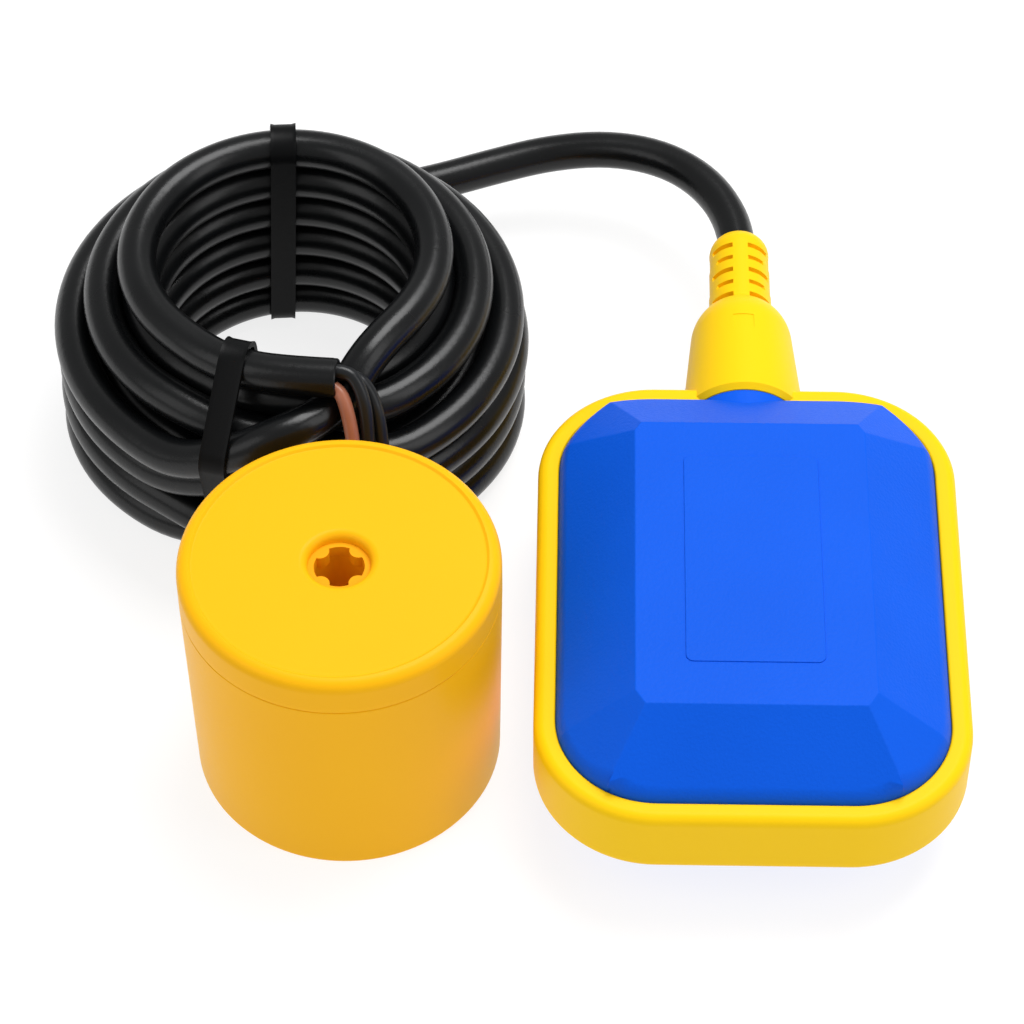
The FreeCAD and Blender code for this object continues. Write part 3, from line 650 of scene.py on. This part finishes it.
def rounded_dome():
    bm = dome(0, 16)
    tops = [e for e in bm.edges if max(v.co.z for v in e.verts) > TOP - LEVEL]
    round_off(bm, tops, TOP_ROUND, 3)
    rim = [
        e
        for e in bm.edges
        if all(past_wall(v) > -NEAR_WALL and v.co.z > MID + 1 * MM for v in e.verts)
        and abs(e.verts[0].co.z - e.verts[1].co.z) < RIM_SLOPE * e.calc_length()
    ]
    round_off(bm, rim, RIM_ROUND, 6, clamp=False)
    return bm


def shell_mesh():
    outer = mesh_from(rounded_dome(), "outer")
    tongue = mesh_from(cylinder(TONGUE, (0, TONGUE_START, MID), (0, TONGUE_END, MID)), "tongue")
    outer = combine(outer, "UNION", tongue)
    inner = mesh_from(dome(WALL, 8), "inner")
    bore = mesh_from(cylinder(TONGUE_BORE, (0, 0, MID), (0, 60 * MM, MID), 48), "bore")
    below = mesh_from(rounded_block(0.2, 0.2, 0.01, -0.1, MID, 2), "below")
    return combine(outer, "DIFFERENCE", inner, bore, below)


# %% [markdown]
# The upper shell carries a bare panel, raised by a quarter of a millimetre, where a
# label can go. Its edge is softened so that it catches a thin line of light.

# %% Both shells
PANEL_WIDTH, PANEL_LENGTH, PANEL_CORNER = 25.2 * MM, 48.8 * MM, 1.4 * MM
PANEL_MIDDLE, PANEL_RISE, PANEL_EDGE = -1.6 * MM, 0.25 * MM, 0.18 * MM


def label_panel():
    bm = rounded_block(
        PANEL_WIDTH, PANEL_LENGTH, PANEL_CORNER, TOP - WALL / 2, TOP + PANEL_RISE, 5
    )
    top = [e for e in bm.edges if min(v.co.z for v in e.verts) > TOP]
    round_off(bm, top, PANEL_EDGE, 2)
    bmesh.ops.translate(bm, vec=(0, PANEL_MIDDLE, 0), verts=bm.verts)
    return mesh_from(bm, "panel")


def lower_shell_mesh():
    """The shell without its panel, mirrored about the parting plane."""
    bm = edit(shell_mesh())
    bmesh.ops.translate(bm, vec=(0, 0, -MID), verts=bm.verts)
    bmesh.ops.scale(bm, vec=(1, 1, -1), verts=bm.verts)
    bmesh.ops.translate(bm, vec=(0, 0, MID), verts=bm.verts)
    return mesh_from(bm, "lower")


upper_shell = combine(shell_mesh(), "UNION", label_panel())
piece("upper_shell_skin", upper_shell, BLUE, ["upper_shell"], 24)
piece("lower_shell_skin", lower_shell_mesh(), BLUE, ["lower_shell"], 24)

# %% [markdown]
# ## The yellow frame
# The frame is moulded over the joint of the shells and runs on into a round neck and a
# strain relief, all in one piece. The band is a rounded block with its opening cut out.
# The neck is a turned part, whose end is chamfered where it meets the blue tongue. Its
# slots let the relief bend. They lie in four quarters round it, and every second one is
# shorter. The slots and the square mark are cut by thin sectors, each a flat face spun
# part of the way round the neck's axis, because a sector has the curved floor they need.

# %% Neck and strain relief
# Distances along the axis and radii in millimetres, and angles in degrees from the top.
NECK_START, NECK_TOP = (47.0, 12.3), (70.0, 10.1)
SHOULDER = (74.6, 8.75)
FOOT = (77.8, 6.25)
NECK_CHAMFER = 1.1
SLOT_FIRST, SLOT_PITCH, SLOT_COUNT, SLOT_HALF = 78.4, 3.45, 5, 0.6
SLOT_FLOOR, SLOT_OUTSIDE = 4.75, 8.5
SLOT_FROM_TOP, SLOT_SHORT, SLOT_LONG = 15, 51, 66
STEP_DOWN, STEP_HALF = 0.15, 0.02
NOSE_START, NOSE_MIDDLE, TIP = 93.0, (3.15, -0.52), (97.5, 4.3)
MARK = (65.4, 69.0)
MARK_HALF, MARK_DEPTH = 11.6, 0.15
BORE = 3.82


def neck_radius(y):
    """Radius of the slightly tapered neck, before its shoulder."""
    slope = (NECK_TOP[1] - NECK_START[1]) / (NECK_TOP[0] - NECK_START[0])
    return NECK_START[1] + slope * (y - NECK_START[0])


def neck_outline():
    """Distance along the axis, and radius, of the neck's outline in millimetres."""
    band_side = SHELL_LENGTH / 2 / MM
    end = TONGUE_END / MM
    chamfer_end = band_side + NECK_CHAMFER
    points = [(band_side, TONGUE / MM + 0.25), (chamfer_end, neck_radius(chamfer_end)), NECK_TOP]
    points += arc(NECK_TOP, SHOULDER, FOOT, 10)
    radius = FOOT[1]
    for index in (1, 3):
        middle = SLOT_FIRST + index * SLOT_PITCH
        points += [(middle - STEP_HALF, radius), (middle + STEP_HALF, radius - STEP_DOWN)]
        radius -= STEP_DOWN
    points.append((NOSE_START, radius))
    nose_middle = (NOSE_START + NOSE_MIDDLE[0], radius + NOSE_MIDDLE[1])
    points += arc((NOSE_START, radius), nose_middle, TIP, 8)
    return points + [(TIP[0], BORE), (end, BORE), (end, TONGUE / MM), (band_side, TONGUE / MM)]


def neck_place(y, radius):
    return (0, y * MM, MID + radius * MM)


def sector(bm, corners, first, last, steps):
    """Adds a face spun about the neck's axis from one angle to another, in degrees."""
    verts = [bm.verts.new(neck_place(*corner)) for corner in corners]
    face = bm.faces.new(verts)
    centre = Vector((0, 0, MID))
    turn = Matrix.Rotation(math.radians(first), 3, "Y")
    bmesh.ops.rotate(bm, cent=centre, matrix=turn, verts=verts)
    bmesh.ops.spin(
        bm,
        geom=verts + list(face.edges) + [face],
        axis=(0, 1, 0),
        cent=centre,
        angle=math.radians(last - first),
        steps=steps,
    )


def neck_cutters():
    bm = bmesh.new()
    for index in range(SLOT_COUNT):
        middle = SLOT_FIRST + index * SLOT_PITCH
        near, far = middle - SLOT_HALF, middle + SLOT_HALF
        corners = [(near, SLOT_FLOOR), (far, SLOT_FLOOR), (far, SLOT_OUTSIDE)]
        corners.append((near, SLOT_OUTSIDE))
        end = SLOT_SHORT if index % 2 else SLOT_LONG
        for first, last in ((SLOT_FROM_TOP, end), (-end, -SLOT_FROM_TOP)):
            sector(bm, corners, first, last, 12)
            sector(bm, corners, first + 180, last + 180, 12)
    floor = [(y, neck_radius(y) - MARK_DEPTH) for y in MARK]
    outside = [(y, NECK_START[1]) for y in reversed(MARK)]
    sector(bm, floor + outside, -MARK_HALF, MARK_HALF, 6)
    return mesh_from(bm, "neck_cutters")


def neck_mesh():
    turned = mesh_from(spun(neck_outline(), (0, 1, 0), (0, 0, MID), neck_place, 100), "neck")
    return combine(turned, "DIFFERENCE", neck_cutters())


neck = neck_mesh()
print("neck faces:", len(neck.polygons))


# %% Band, and the whole frame
BAND_ROUND, OPENING_ROUND = 2.0 * MM, 0.5 * MM


def level_edges(bm, opening=False):
    """Level edges at the band's top and bottom; opening picks those of its opening."""
    found = []
    for edge in bm.edges:
        level = any(
            all(abs(v.co.z - z) < LEVEL for v in edge.verts) for z in (BAND_LOW, BAND_HIGH)
        )
        if level and (not opening or all(abs(past_wall(v)) < 0.02 * MM for v in edge.verts)):
            found.append(edge)
    return found


def band_mesh():
    bm = rounded_block(FLOAT_WIDTH, FLOAT_LENGTH, CORNER, BAND_LOW, BAND_HIGH, 24)
    round_off(bm, level_edges(bm), BAND_ROUND, 5)
    opening = rounded_block(SHELL_WIDTH, SHELL_LENGTH, SHELL_CORNER, -0.01, 0.06, 24)
    bm = edit(combine(mesh_from(bm, "band"), "DIFFERENCE", mesh_from(opening, "opening")))
    round_off(bm, level_edges(bm, opening=True), OPENING_ROUND, 3)
    return mesh_from(bm, "band")


tongue_way = cylinder(TONGUE, (0, 40 * MM, MID), (0, TONGUE_END, MID))
band = combine(band_mesh(), "DIFFERENCE", mesh_from(tongue_way, "tongue_way"))
whole_frame = combine(band, "UNION", neck)
piece("frame_skin", whole_frame, LEMON_YELLOW, ["float_frame"], 30)

# %% [markdown]
# ## The cord
# The cord is about three metres of black rubber cable. It leaves the strain relief
# straight, bends round to the left along the floor, joins the coil at the back, and runs
# round it more than thirteen times, anticlockwise from above. It is one NURBS spline of
# order three, which gives an even, springy bend. The free run's points are listed one by
# one, close to the CAD tube. The turns come from a loop that goes round the coil's centre
# in steps of fifteen degrees, because a hand-wound coil is regular in plan but wanders a
# little from turn to turn. Its lower turns are pressed in at the front, where the hand
# held them. A spline cuts inside its points, so the turns' points lie a little outside.

# %% The cord's points
CORD_RADIUS = 3.8 * MM
CORD_ROUTE = [
    (0, 88, 20.35),
    (0, 98.5, 20.35),
    (-2.6, 108.8, 20.35),
    (-8.2, 117.6, 20.1),
    (-16.6, 124.3, 19.2),
    (-27.5, 127.6, 18.1),
    (-39.5, 127.9, 16.1),
    (-51, 125.2, 14.6),
    (-62.5, 121.2, 13.9),
    (-73.5, 118, 13.7),
    (-84.5, 115.8, 13.6),
    (-95, 112.8, 13.6),
    (-104, 108.9, 13.6),
]
CORD_END = [(-103.6, 40.8, 48.0), (-96.6, 36.7, 48.4), (-88.6, 34.4, 49.1), (-78.5, 33.4, 49.6)]
COIL = Vector((-89.7, 67.7, 0))
SWELL = 1.0087
PRESSED_IN, PRESSED_UP_TO = 6.0, 30
STEP = 15
FRONT = -90
# Degrees from the front where the first turn starts, the turns pass from their right half
# to their left, they have settled after a crossing, the next crossing starts, and the
# last turn ends.
FIRST_TURN_STARTS = 210
MIDDLE_FROM, MIDDLE_TO = 160, 205
SETTLED, CROSSES_FROM = 32, 328
LAST_TURN_ENDS = 325
HAND_SEED, SWAY = 11, (0.1, 0.3)
TOP_RADIUS, TOP_HEIGHT = 28.9, 47.6
TOP_FROM, TOP_TO = -33, 226

# Radius and height of each turn over its right half and its left half, and the point
# where it passes the front of the coil on its way to the next turn's place.
TURNS = [
    ((43.0, 13.6), (42.6, 13.6), (46.3, 10.4)),
    ((43.0, 5.1), (42.6, 5.1), (39.9, 7.5)),
    ((43.0, 13.6), (36.0, 17.85), (35.6, 13.6)),
    ((36.0, 9.35), (36.0, 9.35), (32.3, 5.1)),
    ((28.9, 5.1), (28.9, 5.1), (28.4, 11.8)),
    ((28.9, 13.6), (28.9, 13.6), (28.4, 19.6)),
    ((28.9, 22.1), (28.9, 22.1), (33.0, 26.0)),
    ((36.0, 26.35), (36.0, 26.35), (38.5, 20.8)),
    ((43.2, 22.1), (42.7, 22.1), (39.5, 29.0)),
    ((28.9, 30.6), (28.9, 30.6), (28.6, 33.5)),
    ((28.9, 39.1), (28.9, 39.1), (31.5, 40.8)),
    ((36.4, 38.6), (36.4, 38.6), (37.4, 36.3)),
    ((42.6, 30.6), (42.6, 30.6), None),
]
# The last crossing, from the outside up to the topmost turn: degrees, radius, height.
CROSSING = [
    (-121, 43.4, 31.0),
    (-113, 43.6, 32.6),
    (-106, 43.7, 35.4),
    (-98, 43.4, 38.8),
    (-91, 42.4, 41.4),
    (-84, 40.4, 42.2),
    (-77, 37.8, 41.9),
    (-71, 35.5, 42.2),
    (-65, 33.4, 44.4),
    (-57, 31.0, 46.6),
    (-46, 29.3, 47.5),
]


def round_coil(radius, height, degrees):
    """Point of the coil, whose lower turns are pressed in a little at the front."""
    angle = math.radians(degrees)
    x, y = radius * SWELL * math.cos(angle), radius * SWELL * math.sin(angle)
    y += PRESSED_IN * max(1 - height / PRESSED_UP_TO, 0) * max(-math.sin(angle), 0)
    return COIL + Vector((x, y, height))


def ease(value, start, end):
    """Goes smoothly from 0 at the start to 1 at the end."""
    part = min(max((value - start) / (end - start), 0), 1)
    return part * part * (3 - 2 * part)


def wound_turns():
    """Points of the turns, from the cord's arrival at the back to its last crossing."""
    hand = random.Random(HAND_SEED)
    points = []
    passed = None
    for index, (right, left, passing) in enumerate(TURNS):
        first = 0 if index else FIRST_TURN_STARTS
        lean, phase = hand.uniform(*SWAY), hand.uniform(0, 6.28)
        for turned in range(first, 360, STEP):
            place = []
            for axis in range(2):
                share = ease(turned, MIDDLE_FROM, MIDDLE_TO)
                value = right[axis] + (left[axis] - right[axis]) * share
                if passed:
                    value = passed[axis] + (value - passed[axis]) * ease(turned, 0, SETTLED)
                if passing:
                    value += (passing[axis] - value) * ease(turned, CROSSES_FROM, 360)
                place.append(value)
            if passing is None and turned > LAST_TURN_ENDS:
                break
            sway = lean * math.sin(math.radians(turned) + phase)
            points.append(round_coil(place[0] + sway, place[1] + sway * 0.4, FRONT + turned))
        passed = passing
    return points


def top_turn():
    """The topmost turn, up to where the stripped end begins to come forward."""
    return [round_coil(TOP_RADIUS, TOP_HEIGHT, angle) for angle in range(TOP_FROM, TOP_TO, STEP)]


cord_points = [Vector(point) for point in CORD_ROUTE] + wound_turns()
cord_points += [round_coil(radius, height, degrees) for degrees, radius, height in CROSSING]
cord_points += top_turn() + [Vector(point) for point in CORD_END]
print("cord points:", len(cord_points), "turns:", len(TURNS))

# %% One spline


def rubber_line(name, points, radius, finish, sides=9, smooth=5):
    """Round line through control points in millimetres, that rides on the housing."""
    data = bpy.data.curves.new(name, "CURVE")
    data.dimensions = "3D"
    spline = data.splines.new("NURBS")
    spline.points.add(len(points) - 1)
    for target, point in zip(spline.points, points):
        target.co = (*(point * MM), 1)
    spline.order_u = 3
    spline.use_endpoint_u = True
    spline.resolution_u = smooth
    data.bevel_depth = radius
    data.bevel_resolution = sides
    data.use_fill_caps = True
    data.materials.append(finish)
    line = bpy.data.objects.new(name, data)
    bpy.context.collection.objects.link(line)
    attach(line, "housing")
    return line


def length_of(points):
    """Length of the order-three spline through these control points, in metres."""
    total, last = 0.0, points[0]
    for before, at, after in zip(points, points[1:], points[2:]):
        start = before if before is points[0] else (before + at) / 2
        end = after if after is points[-1] else (at + after) / 2
        for step in range(1, 9):
            t = step / 8
            here = start * (1 - t) ** 2 + at * 2 * t * (1 - t) + end * t * t
            total += (here - last).length
            last = here
    return total * MM


cord_length = length_of(cord_points)
print("cord length, metres:", round(cord_length, 3))
cord = rubber_line("rubber_cord", cord_points, CORD_RADIUS, RUBBER)
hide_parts("cord_tube", "cord_coil", "cord_end")

# %% [markdown]
# ## The stripped end
# The sheath is cut back and three cores come out of it, one brown and two black, which
# bend down over the front of the coil. Each is a short spline of its own. A thin ring
# spun about the cord's end gives the cut its rim, and leaves the inside dark.

# %% Cores
CORES = {
    "brown_core": [
        (-78.4, 31.8, 48.7),
        (-77.2, 30.9, 48.4),
        (-76.3, 29.2, 47.1),
        (-75.4, 27.1, 44.2),
        (-74.7, 24.9, 39.6),
        (-74.1, 21.8, 30.6),
    ],
    "black_core_inner": [
        (-78.2, 33.6, 51.4),
        (-75.9, 33.4, 51.5),
        (-73.9, 31.9, 50.1),
        (-72.6, 29.4, 46.9),
        (-72.0, 26.6, 41.4),
        (-71.5, 22.6, 30.2),
    ],
    "black_core_outer": [
        (-78.1, 34.9, 49.0),
        (-75.0, 34.9, 48.9),
        (-72.0, 33.1, 47.4),
        (-70.1, 29.6, 43.4),
        (-69.3, 26.4, 36.6),
        (-68.8, 23.7, 30.0),
    ],
}
CORE_RADIUS = 1.35 * MM
for name, route in CORES.items():
    brown = name == "brown_core"
    points = [Vector(point) for point in route]
    finish = BROWN_CORE if brown else BLACK_CORE
    line = rubber_line(name + "_line", points, CORE_RADIUS, finish, 5, 8)
    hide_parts(name)

# %% Rim of the cut sheath
SHEATH_END = Vector(CORD_END[-1])
SHEATH_WAY = (SHEATH_END - Vector(CORD_END[-2])).normalized()
SHEATH_SIDE = SHEATH_WAY.cross(UP).normalized()


def rim_place(along, radius):
    return (SHEATH_END + SHEATH_WAY * along + SHEATH_SIDE * radius) * MM


# Distance past the cord's end, and radius, in millimetres.
RIM_OUTLINE = [(-0.4, 2.7), (-0.4, 3.75), (0.5, 3.75), (0.75, 3.55), (0.75, 3.1), (0.6, 2.7)]
rim = spun(RIM_OUTLINE, SHEATH_WAY, SHEATH_END * MM, rim_place, 48)
sheath_rim = piece("sheath_rim", mesh_from(rim, "rim"), RUBBER, ["cord_end"])

# %% [markdown]
# ## The straps
# Two nylon straps hold the coil. Each is drawn tight round the whole section, so its
# loop is the outline of the bundle: a round corner wherever it turns over a turn of
# cord, and straight runs between. Two loops, an inner and an outer, are bridged and
# extruded to the strap's width, and the outer face is sunk between two raised beads. The
# strap's head is a small rounded block on its outer side.

# %% A strap
STRAP_WIDTH, STRAP_THICKNESS = 5.0 * MM, 1.15 * MM
STRAP_PLAY = 0.02 * MM
BEAD, BEAD_HEIGHT = 0.75 * MM, 0.22 * MM
HEAD_SIZE, HEAD_ROUND = Vector((3.4, 5.8, 6.4)) * MM, 0.6 * MM
LEAN_FROM = 50 * MM


def loop_round(corners, radius):
    """Outline, in the radial plane, of a band drawn round circles at the corners."""
    outline = []
    last, first_again = corners[-1:] + corners[:-1], corners[1:] + corners[:1]
    for before, centre, after in zip(last, corners, first_again):
        into, out_of = (centre - before).normalized(), (after - centre).normalized()
        first = math.atan2(-into.x, into.y)
        sweep = (math.atan2(-out_of.x, out_of.y) - first) % (2 * math.pi)
        for step in range(9):
            angle = first + sweep * step / 8
            outline.append(centre + Vector((math.cos(angle), math.sin(angle))) * radius)
    return outline


def strap_head(bm, corner, foot):
    """Adds the head outside this corner of the loop, with its foot at this height."""
    made = bmesh.ops.create_cube(bm, size=1)["verts"]
    bmesh.ops.scale(bm, vec=HEAD_SIZE, verts=made)
    outside = corner.x * MM + CORD_RADIUS + STRAP_THICKNESS + 0.5 * MM
    bmesh.ops.translate(bm, vec=(outside, 0, foot * MM + HEAD_SIZE.z / 2), verts=made)
    round_off(bm, list({edge for vert in made for edge in vert.link_edges}), HEAD_ROUND, 3)


def strap_mesh(corners, degrees, head_foot, lean):
    """Strap round these corners; lean moves its low end sideways, as a share of height."""
    bm = bmesh.new()
    rings = []
    for radius in ((CORD_RADIUS + STRAP_PLAY) / MM, (CORD_RADIUS + STRAP_THICKNESS) / MM):
        verts = [
            bm.verts.new((x * MM, -STRAP_WIDTH / 2, z * MM)) for x, z in loop_round(corners, radius)
        ]
        rings.append([bm.edges.new(pair) for pair in zip(verts, verts[1:] + verts[:1])])
    side = bmesh.ops.bridge_loops(bm, edges=rings[0] + rings[1])["faces"]
    region = bmesh.ops.extrude_face_region(bm, geom=side, use_keep_orig=True)["geom"]
    far = [item for item in region if isinstance(item, bmesh.types.BMVert)]
    bmesh.ops.translate(bm, vec=(0, STRAP_WIDTH, 0), verts=far)
    bmesh.ops.recalc_face_normals(bm, faces=bm.faces[:])
    centre = sum(corners, Vector((0, 0))) / len(corners)
    middle = Vector((centre.x, 0, centre.y)) * MM
    outer = [
        f
        for f in bm.faces
        if abs(f.normal.y) < 0.5 and f.normal.dot(f.calc_center_median() - middle) > 0
    ]
    bmesh.ops.inset_region(bm, faces=outer, thickness=BEAD, depth=-BEAD_HEIGHT)
    strap_head(bm, corners[1], head_foot)
    for vert in bm.verts:
        vert.co.y += lean * (LEAN_FROM - vert.co.z)
    bmesh.ops.rotate(bm, matrix=Matrix.Rotation(math.radians(degrees), 3, "Z"), verts=bm.verts)
    bmesh.ops.translate(bm, vec=COIL * MM, verts=bm.verts)
    return mesh_from(bm, "strap")


# %% Both straps
BACK_CORNERS = [Vector(c) for c in ((28.9, 5.1), (45.7, 5.1), (45.7, 30.6), (28.9, 47.7))]
FRONT_CORNERS = [Vector(c) for c in ((24.6, 5.1), (38.9, 5.1), (44.0, 37.1), (30.9, 48.4))]
back_strap = strap_mesh(BACK_CORNERS, 94, 20, 0.05)
front_strap = strap_mesh(FRONT_CORNERS, -104, 12, 0)
straps = [
    piece("back_strap", back_strap, NYLON, ["cable_tie_back"]),
    piece("front_strap", front_strap, NYLON, ["cable_tie_front"]),
]

# %% [markdown]
# ## The counterweight
# The weight is moulded in two pieces: a tub with a slight draft, and a lid with a raised
# rim that is pressed into it. Both are outlines spun about the upright axis. The two
# edges that meet at the seam are rounded a little, which draws the fine dark line round
# the weight. The iron ballast inside is the CAD's own.

# %% Tub and lid
WEIGHT = Vector((-75.1, -14.2, 0))
WEIGHT_RADIUS, FOOT_RADIUS, WEIGHT_HEIGHT, SEAM = 29.3, 28.6, 54.3, 46.9
WEIGHT_WALL, BORE_RADIUS, TUBE_RADIUS = 2.2, 4.9, 7.5
RING_LOW, RING_HIGH = 49.3, 51.9
FIELD, RECESS = 26.9, 5.7
FIELD_HEIGHT = WEIGHT_HEIGHT - 0.4
FOOT_ROUND, SEAM_ROUND, LID_ROUND, RECESS_ROUND = 1, 0.3, 2.2, 1.6
SKIRT_LOW, SKIRT_INNER, SKIRT_OUTER = SEAM - 3, 24.8, 27.0
COLLAR_INNER, COLLAR_OUTER = TUBE_RADIUS + 0.1, TUBE_RADIUS + 2.3


def turned_piece(outline, steps=128):
    place = lambda radius, height: ((WEIGHT.x + radius) * MM, WEIGHT.y * MM, height * MM)
    return mesh_from(spun(outline, (0, 0, 1), WEIGHT * MM, place, steps), "turned")


def corner_arc(x, y, start, end, radius, steps=5):
    """Quarter arc about (x, y) from one angle to another, in degrees."""
    points = []
    for step in range(steps + 1):
        angle = math.radians(start + (end - start) * step / steps)
        points.append((x + radius * math.cos(angle), y + radius * math.sin(angle)))
    return points


tub = [(BORE_RADIUS, 0)]
tub += corner_arc(FOOT_RADIUS - FOOT_ROUND, FOOT_ROUND, -90, 0, FOOT_ROUND)
tub += corner_arc(WEIGHT_RADIUS - SEAM_ROUND, SEAM - SEAM_ROUND, 0, 90, SEAM_ROUND, 3)
tub += [(WEIGHT_RADIUS - WEIGHT_WALL, SEAM), (FOOT_RADIUS - WEIGHT_WALL, WEIGHT_WALL)]
tub += [(TUBE_RADIUS, WEIGHT_WALL), (TUBE_RADIUS, RING_LOW - 0.1), (BORE_RADIUS, RING_LOW - 0.1)]
piece("weight_tub", turned_piece(tub), WARM_YELLOW, ["counterweight_body"], 30)

lid = [(COLLAR_INNER, SKIRT_LOW), (COLLAR_OUTER, SKIRT_LOW), (COLLAR_OUTER, RING_LOW)]
lid += [(SKIRT_INNER, RING_LOW), (SKIRT_INNER, SKIRT_LOW), (SKIRT_OUTER, SKIRT_LOW)]
lid += [(SKIRT_OUTER, SEAM)]
lid += corner_arc(WEIGHT_RADIUS - SEAM_ROUND, SEAM + SEAM_ROUND, -90, 0, SEAM_ROUND, 3)
lid += corner_arc(WEIGHT_RADIUS - LID_ROUND, WEIGHT_HEIGHT - LID_ROUND, 0, 90, LID_ROUND, 8)
lid += [(FIELD + 0.15, WEIGHT_HEIGHT), (FIELD, WEIGHT_HEIGHT - 0.1)]
lid += [(FIELD - 0.3, FIELD_HEIGHT + 0.05), (FIELD - 0.6, FIELD_HEIGHT)]
lid += corner_arc(RECESS + RECESS_ROUND, FIELD_HEIGHT - RECESS_ROUND, 90, 180, RECESS_ROUND, 7)
lid += [(RECESS, RING_HIGH), (COLLAR_INNER, RING_HIGH)]
piece("weight_lid", turned_piece(lid), WARM_YELLOW, ["counterweight_lid"], 30)

# %% [markdown]
# The stop ring sits at the bottom of the lid's recess. Its hole has four round teeth that
# bite into the cord. The hole is one round cutter with four small ones taken from it, so
# the ring is a disc minus that cutter.

# %% Stop ring
HOLE_RADIUS, TOOTH_RADIUS, TOOTH_PLACE = 4.6, 1.7, 5.1
TOOTH_ANGLES = (49, 136, 231, 314)


def upright(radius, x, y, low, high, segments=64):
    """Upright cylinder at this place from the weight's axis, in millimetres."""
    place = WEIGHT + Vector((x, y, 0))
    start = (place + Vector((0, 0, low))) * MM
    end = (place + Vector((0, 0, high))) * MM
    return mesh_from(cylinder(radius * MM, start, end, segments), "upright")


def stop_ring():
    teeth = []
    for degrees in TOOTH_ANGLES:
        angle = math.radians(degrees)
        x, y = TOOTH_PLACE * math.cos(angle), TOOTH_PLACE * math.sin(angle)
        teeth.append(upright(TOOTH_RADIUS, x, y, 40, 60, 32))
    hole = combine(upright(HOLE_RADIUS, 0, 0, 45, 58), "DIFFERENCE", *teeth)
    return combine(upright(TUBE_RADIUS, 0, 0, RING_LOW, RING_HIGH), "DIFFERENCE", hole)


# The ring's deeper, more orange yellow is painted shade for the lid's recess.
piece("stop_ring", stop_ring(), STOP_SHADED_YELLOW, ["cord_stop_ring"], 40)

# %% [markdown]
# ## Sizes
# The CAD model's box and the dressed model's box are printed side by side. The dressed
# model has to stay in the CAD model's box.

# %% Sizes
dressed_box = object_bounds()
for side, cad_corner, dressed_corner in zip(("low", "high"), cad_box, dressed_box):
    for axis, cad, dressed in zip("xyz", cad_corner, dressed_corner):
        print(side, axis, "CAD", round(cad / MM, 2), "dressed", round(dressed / MM, 2))
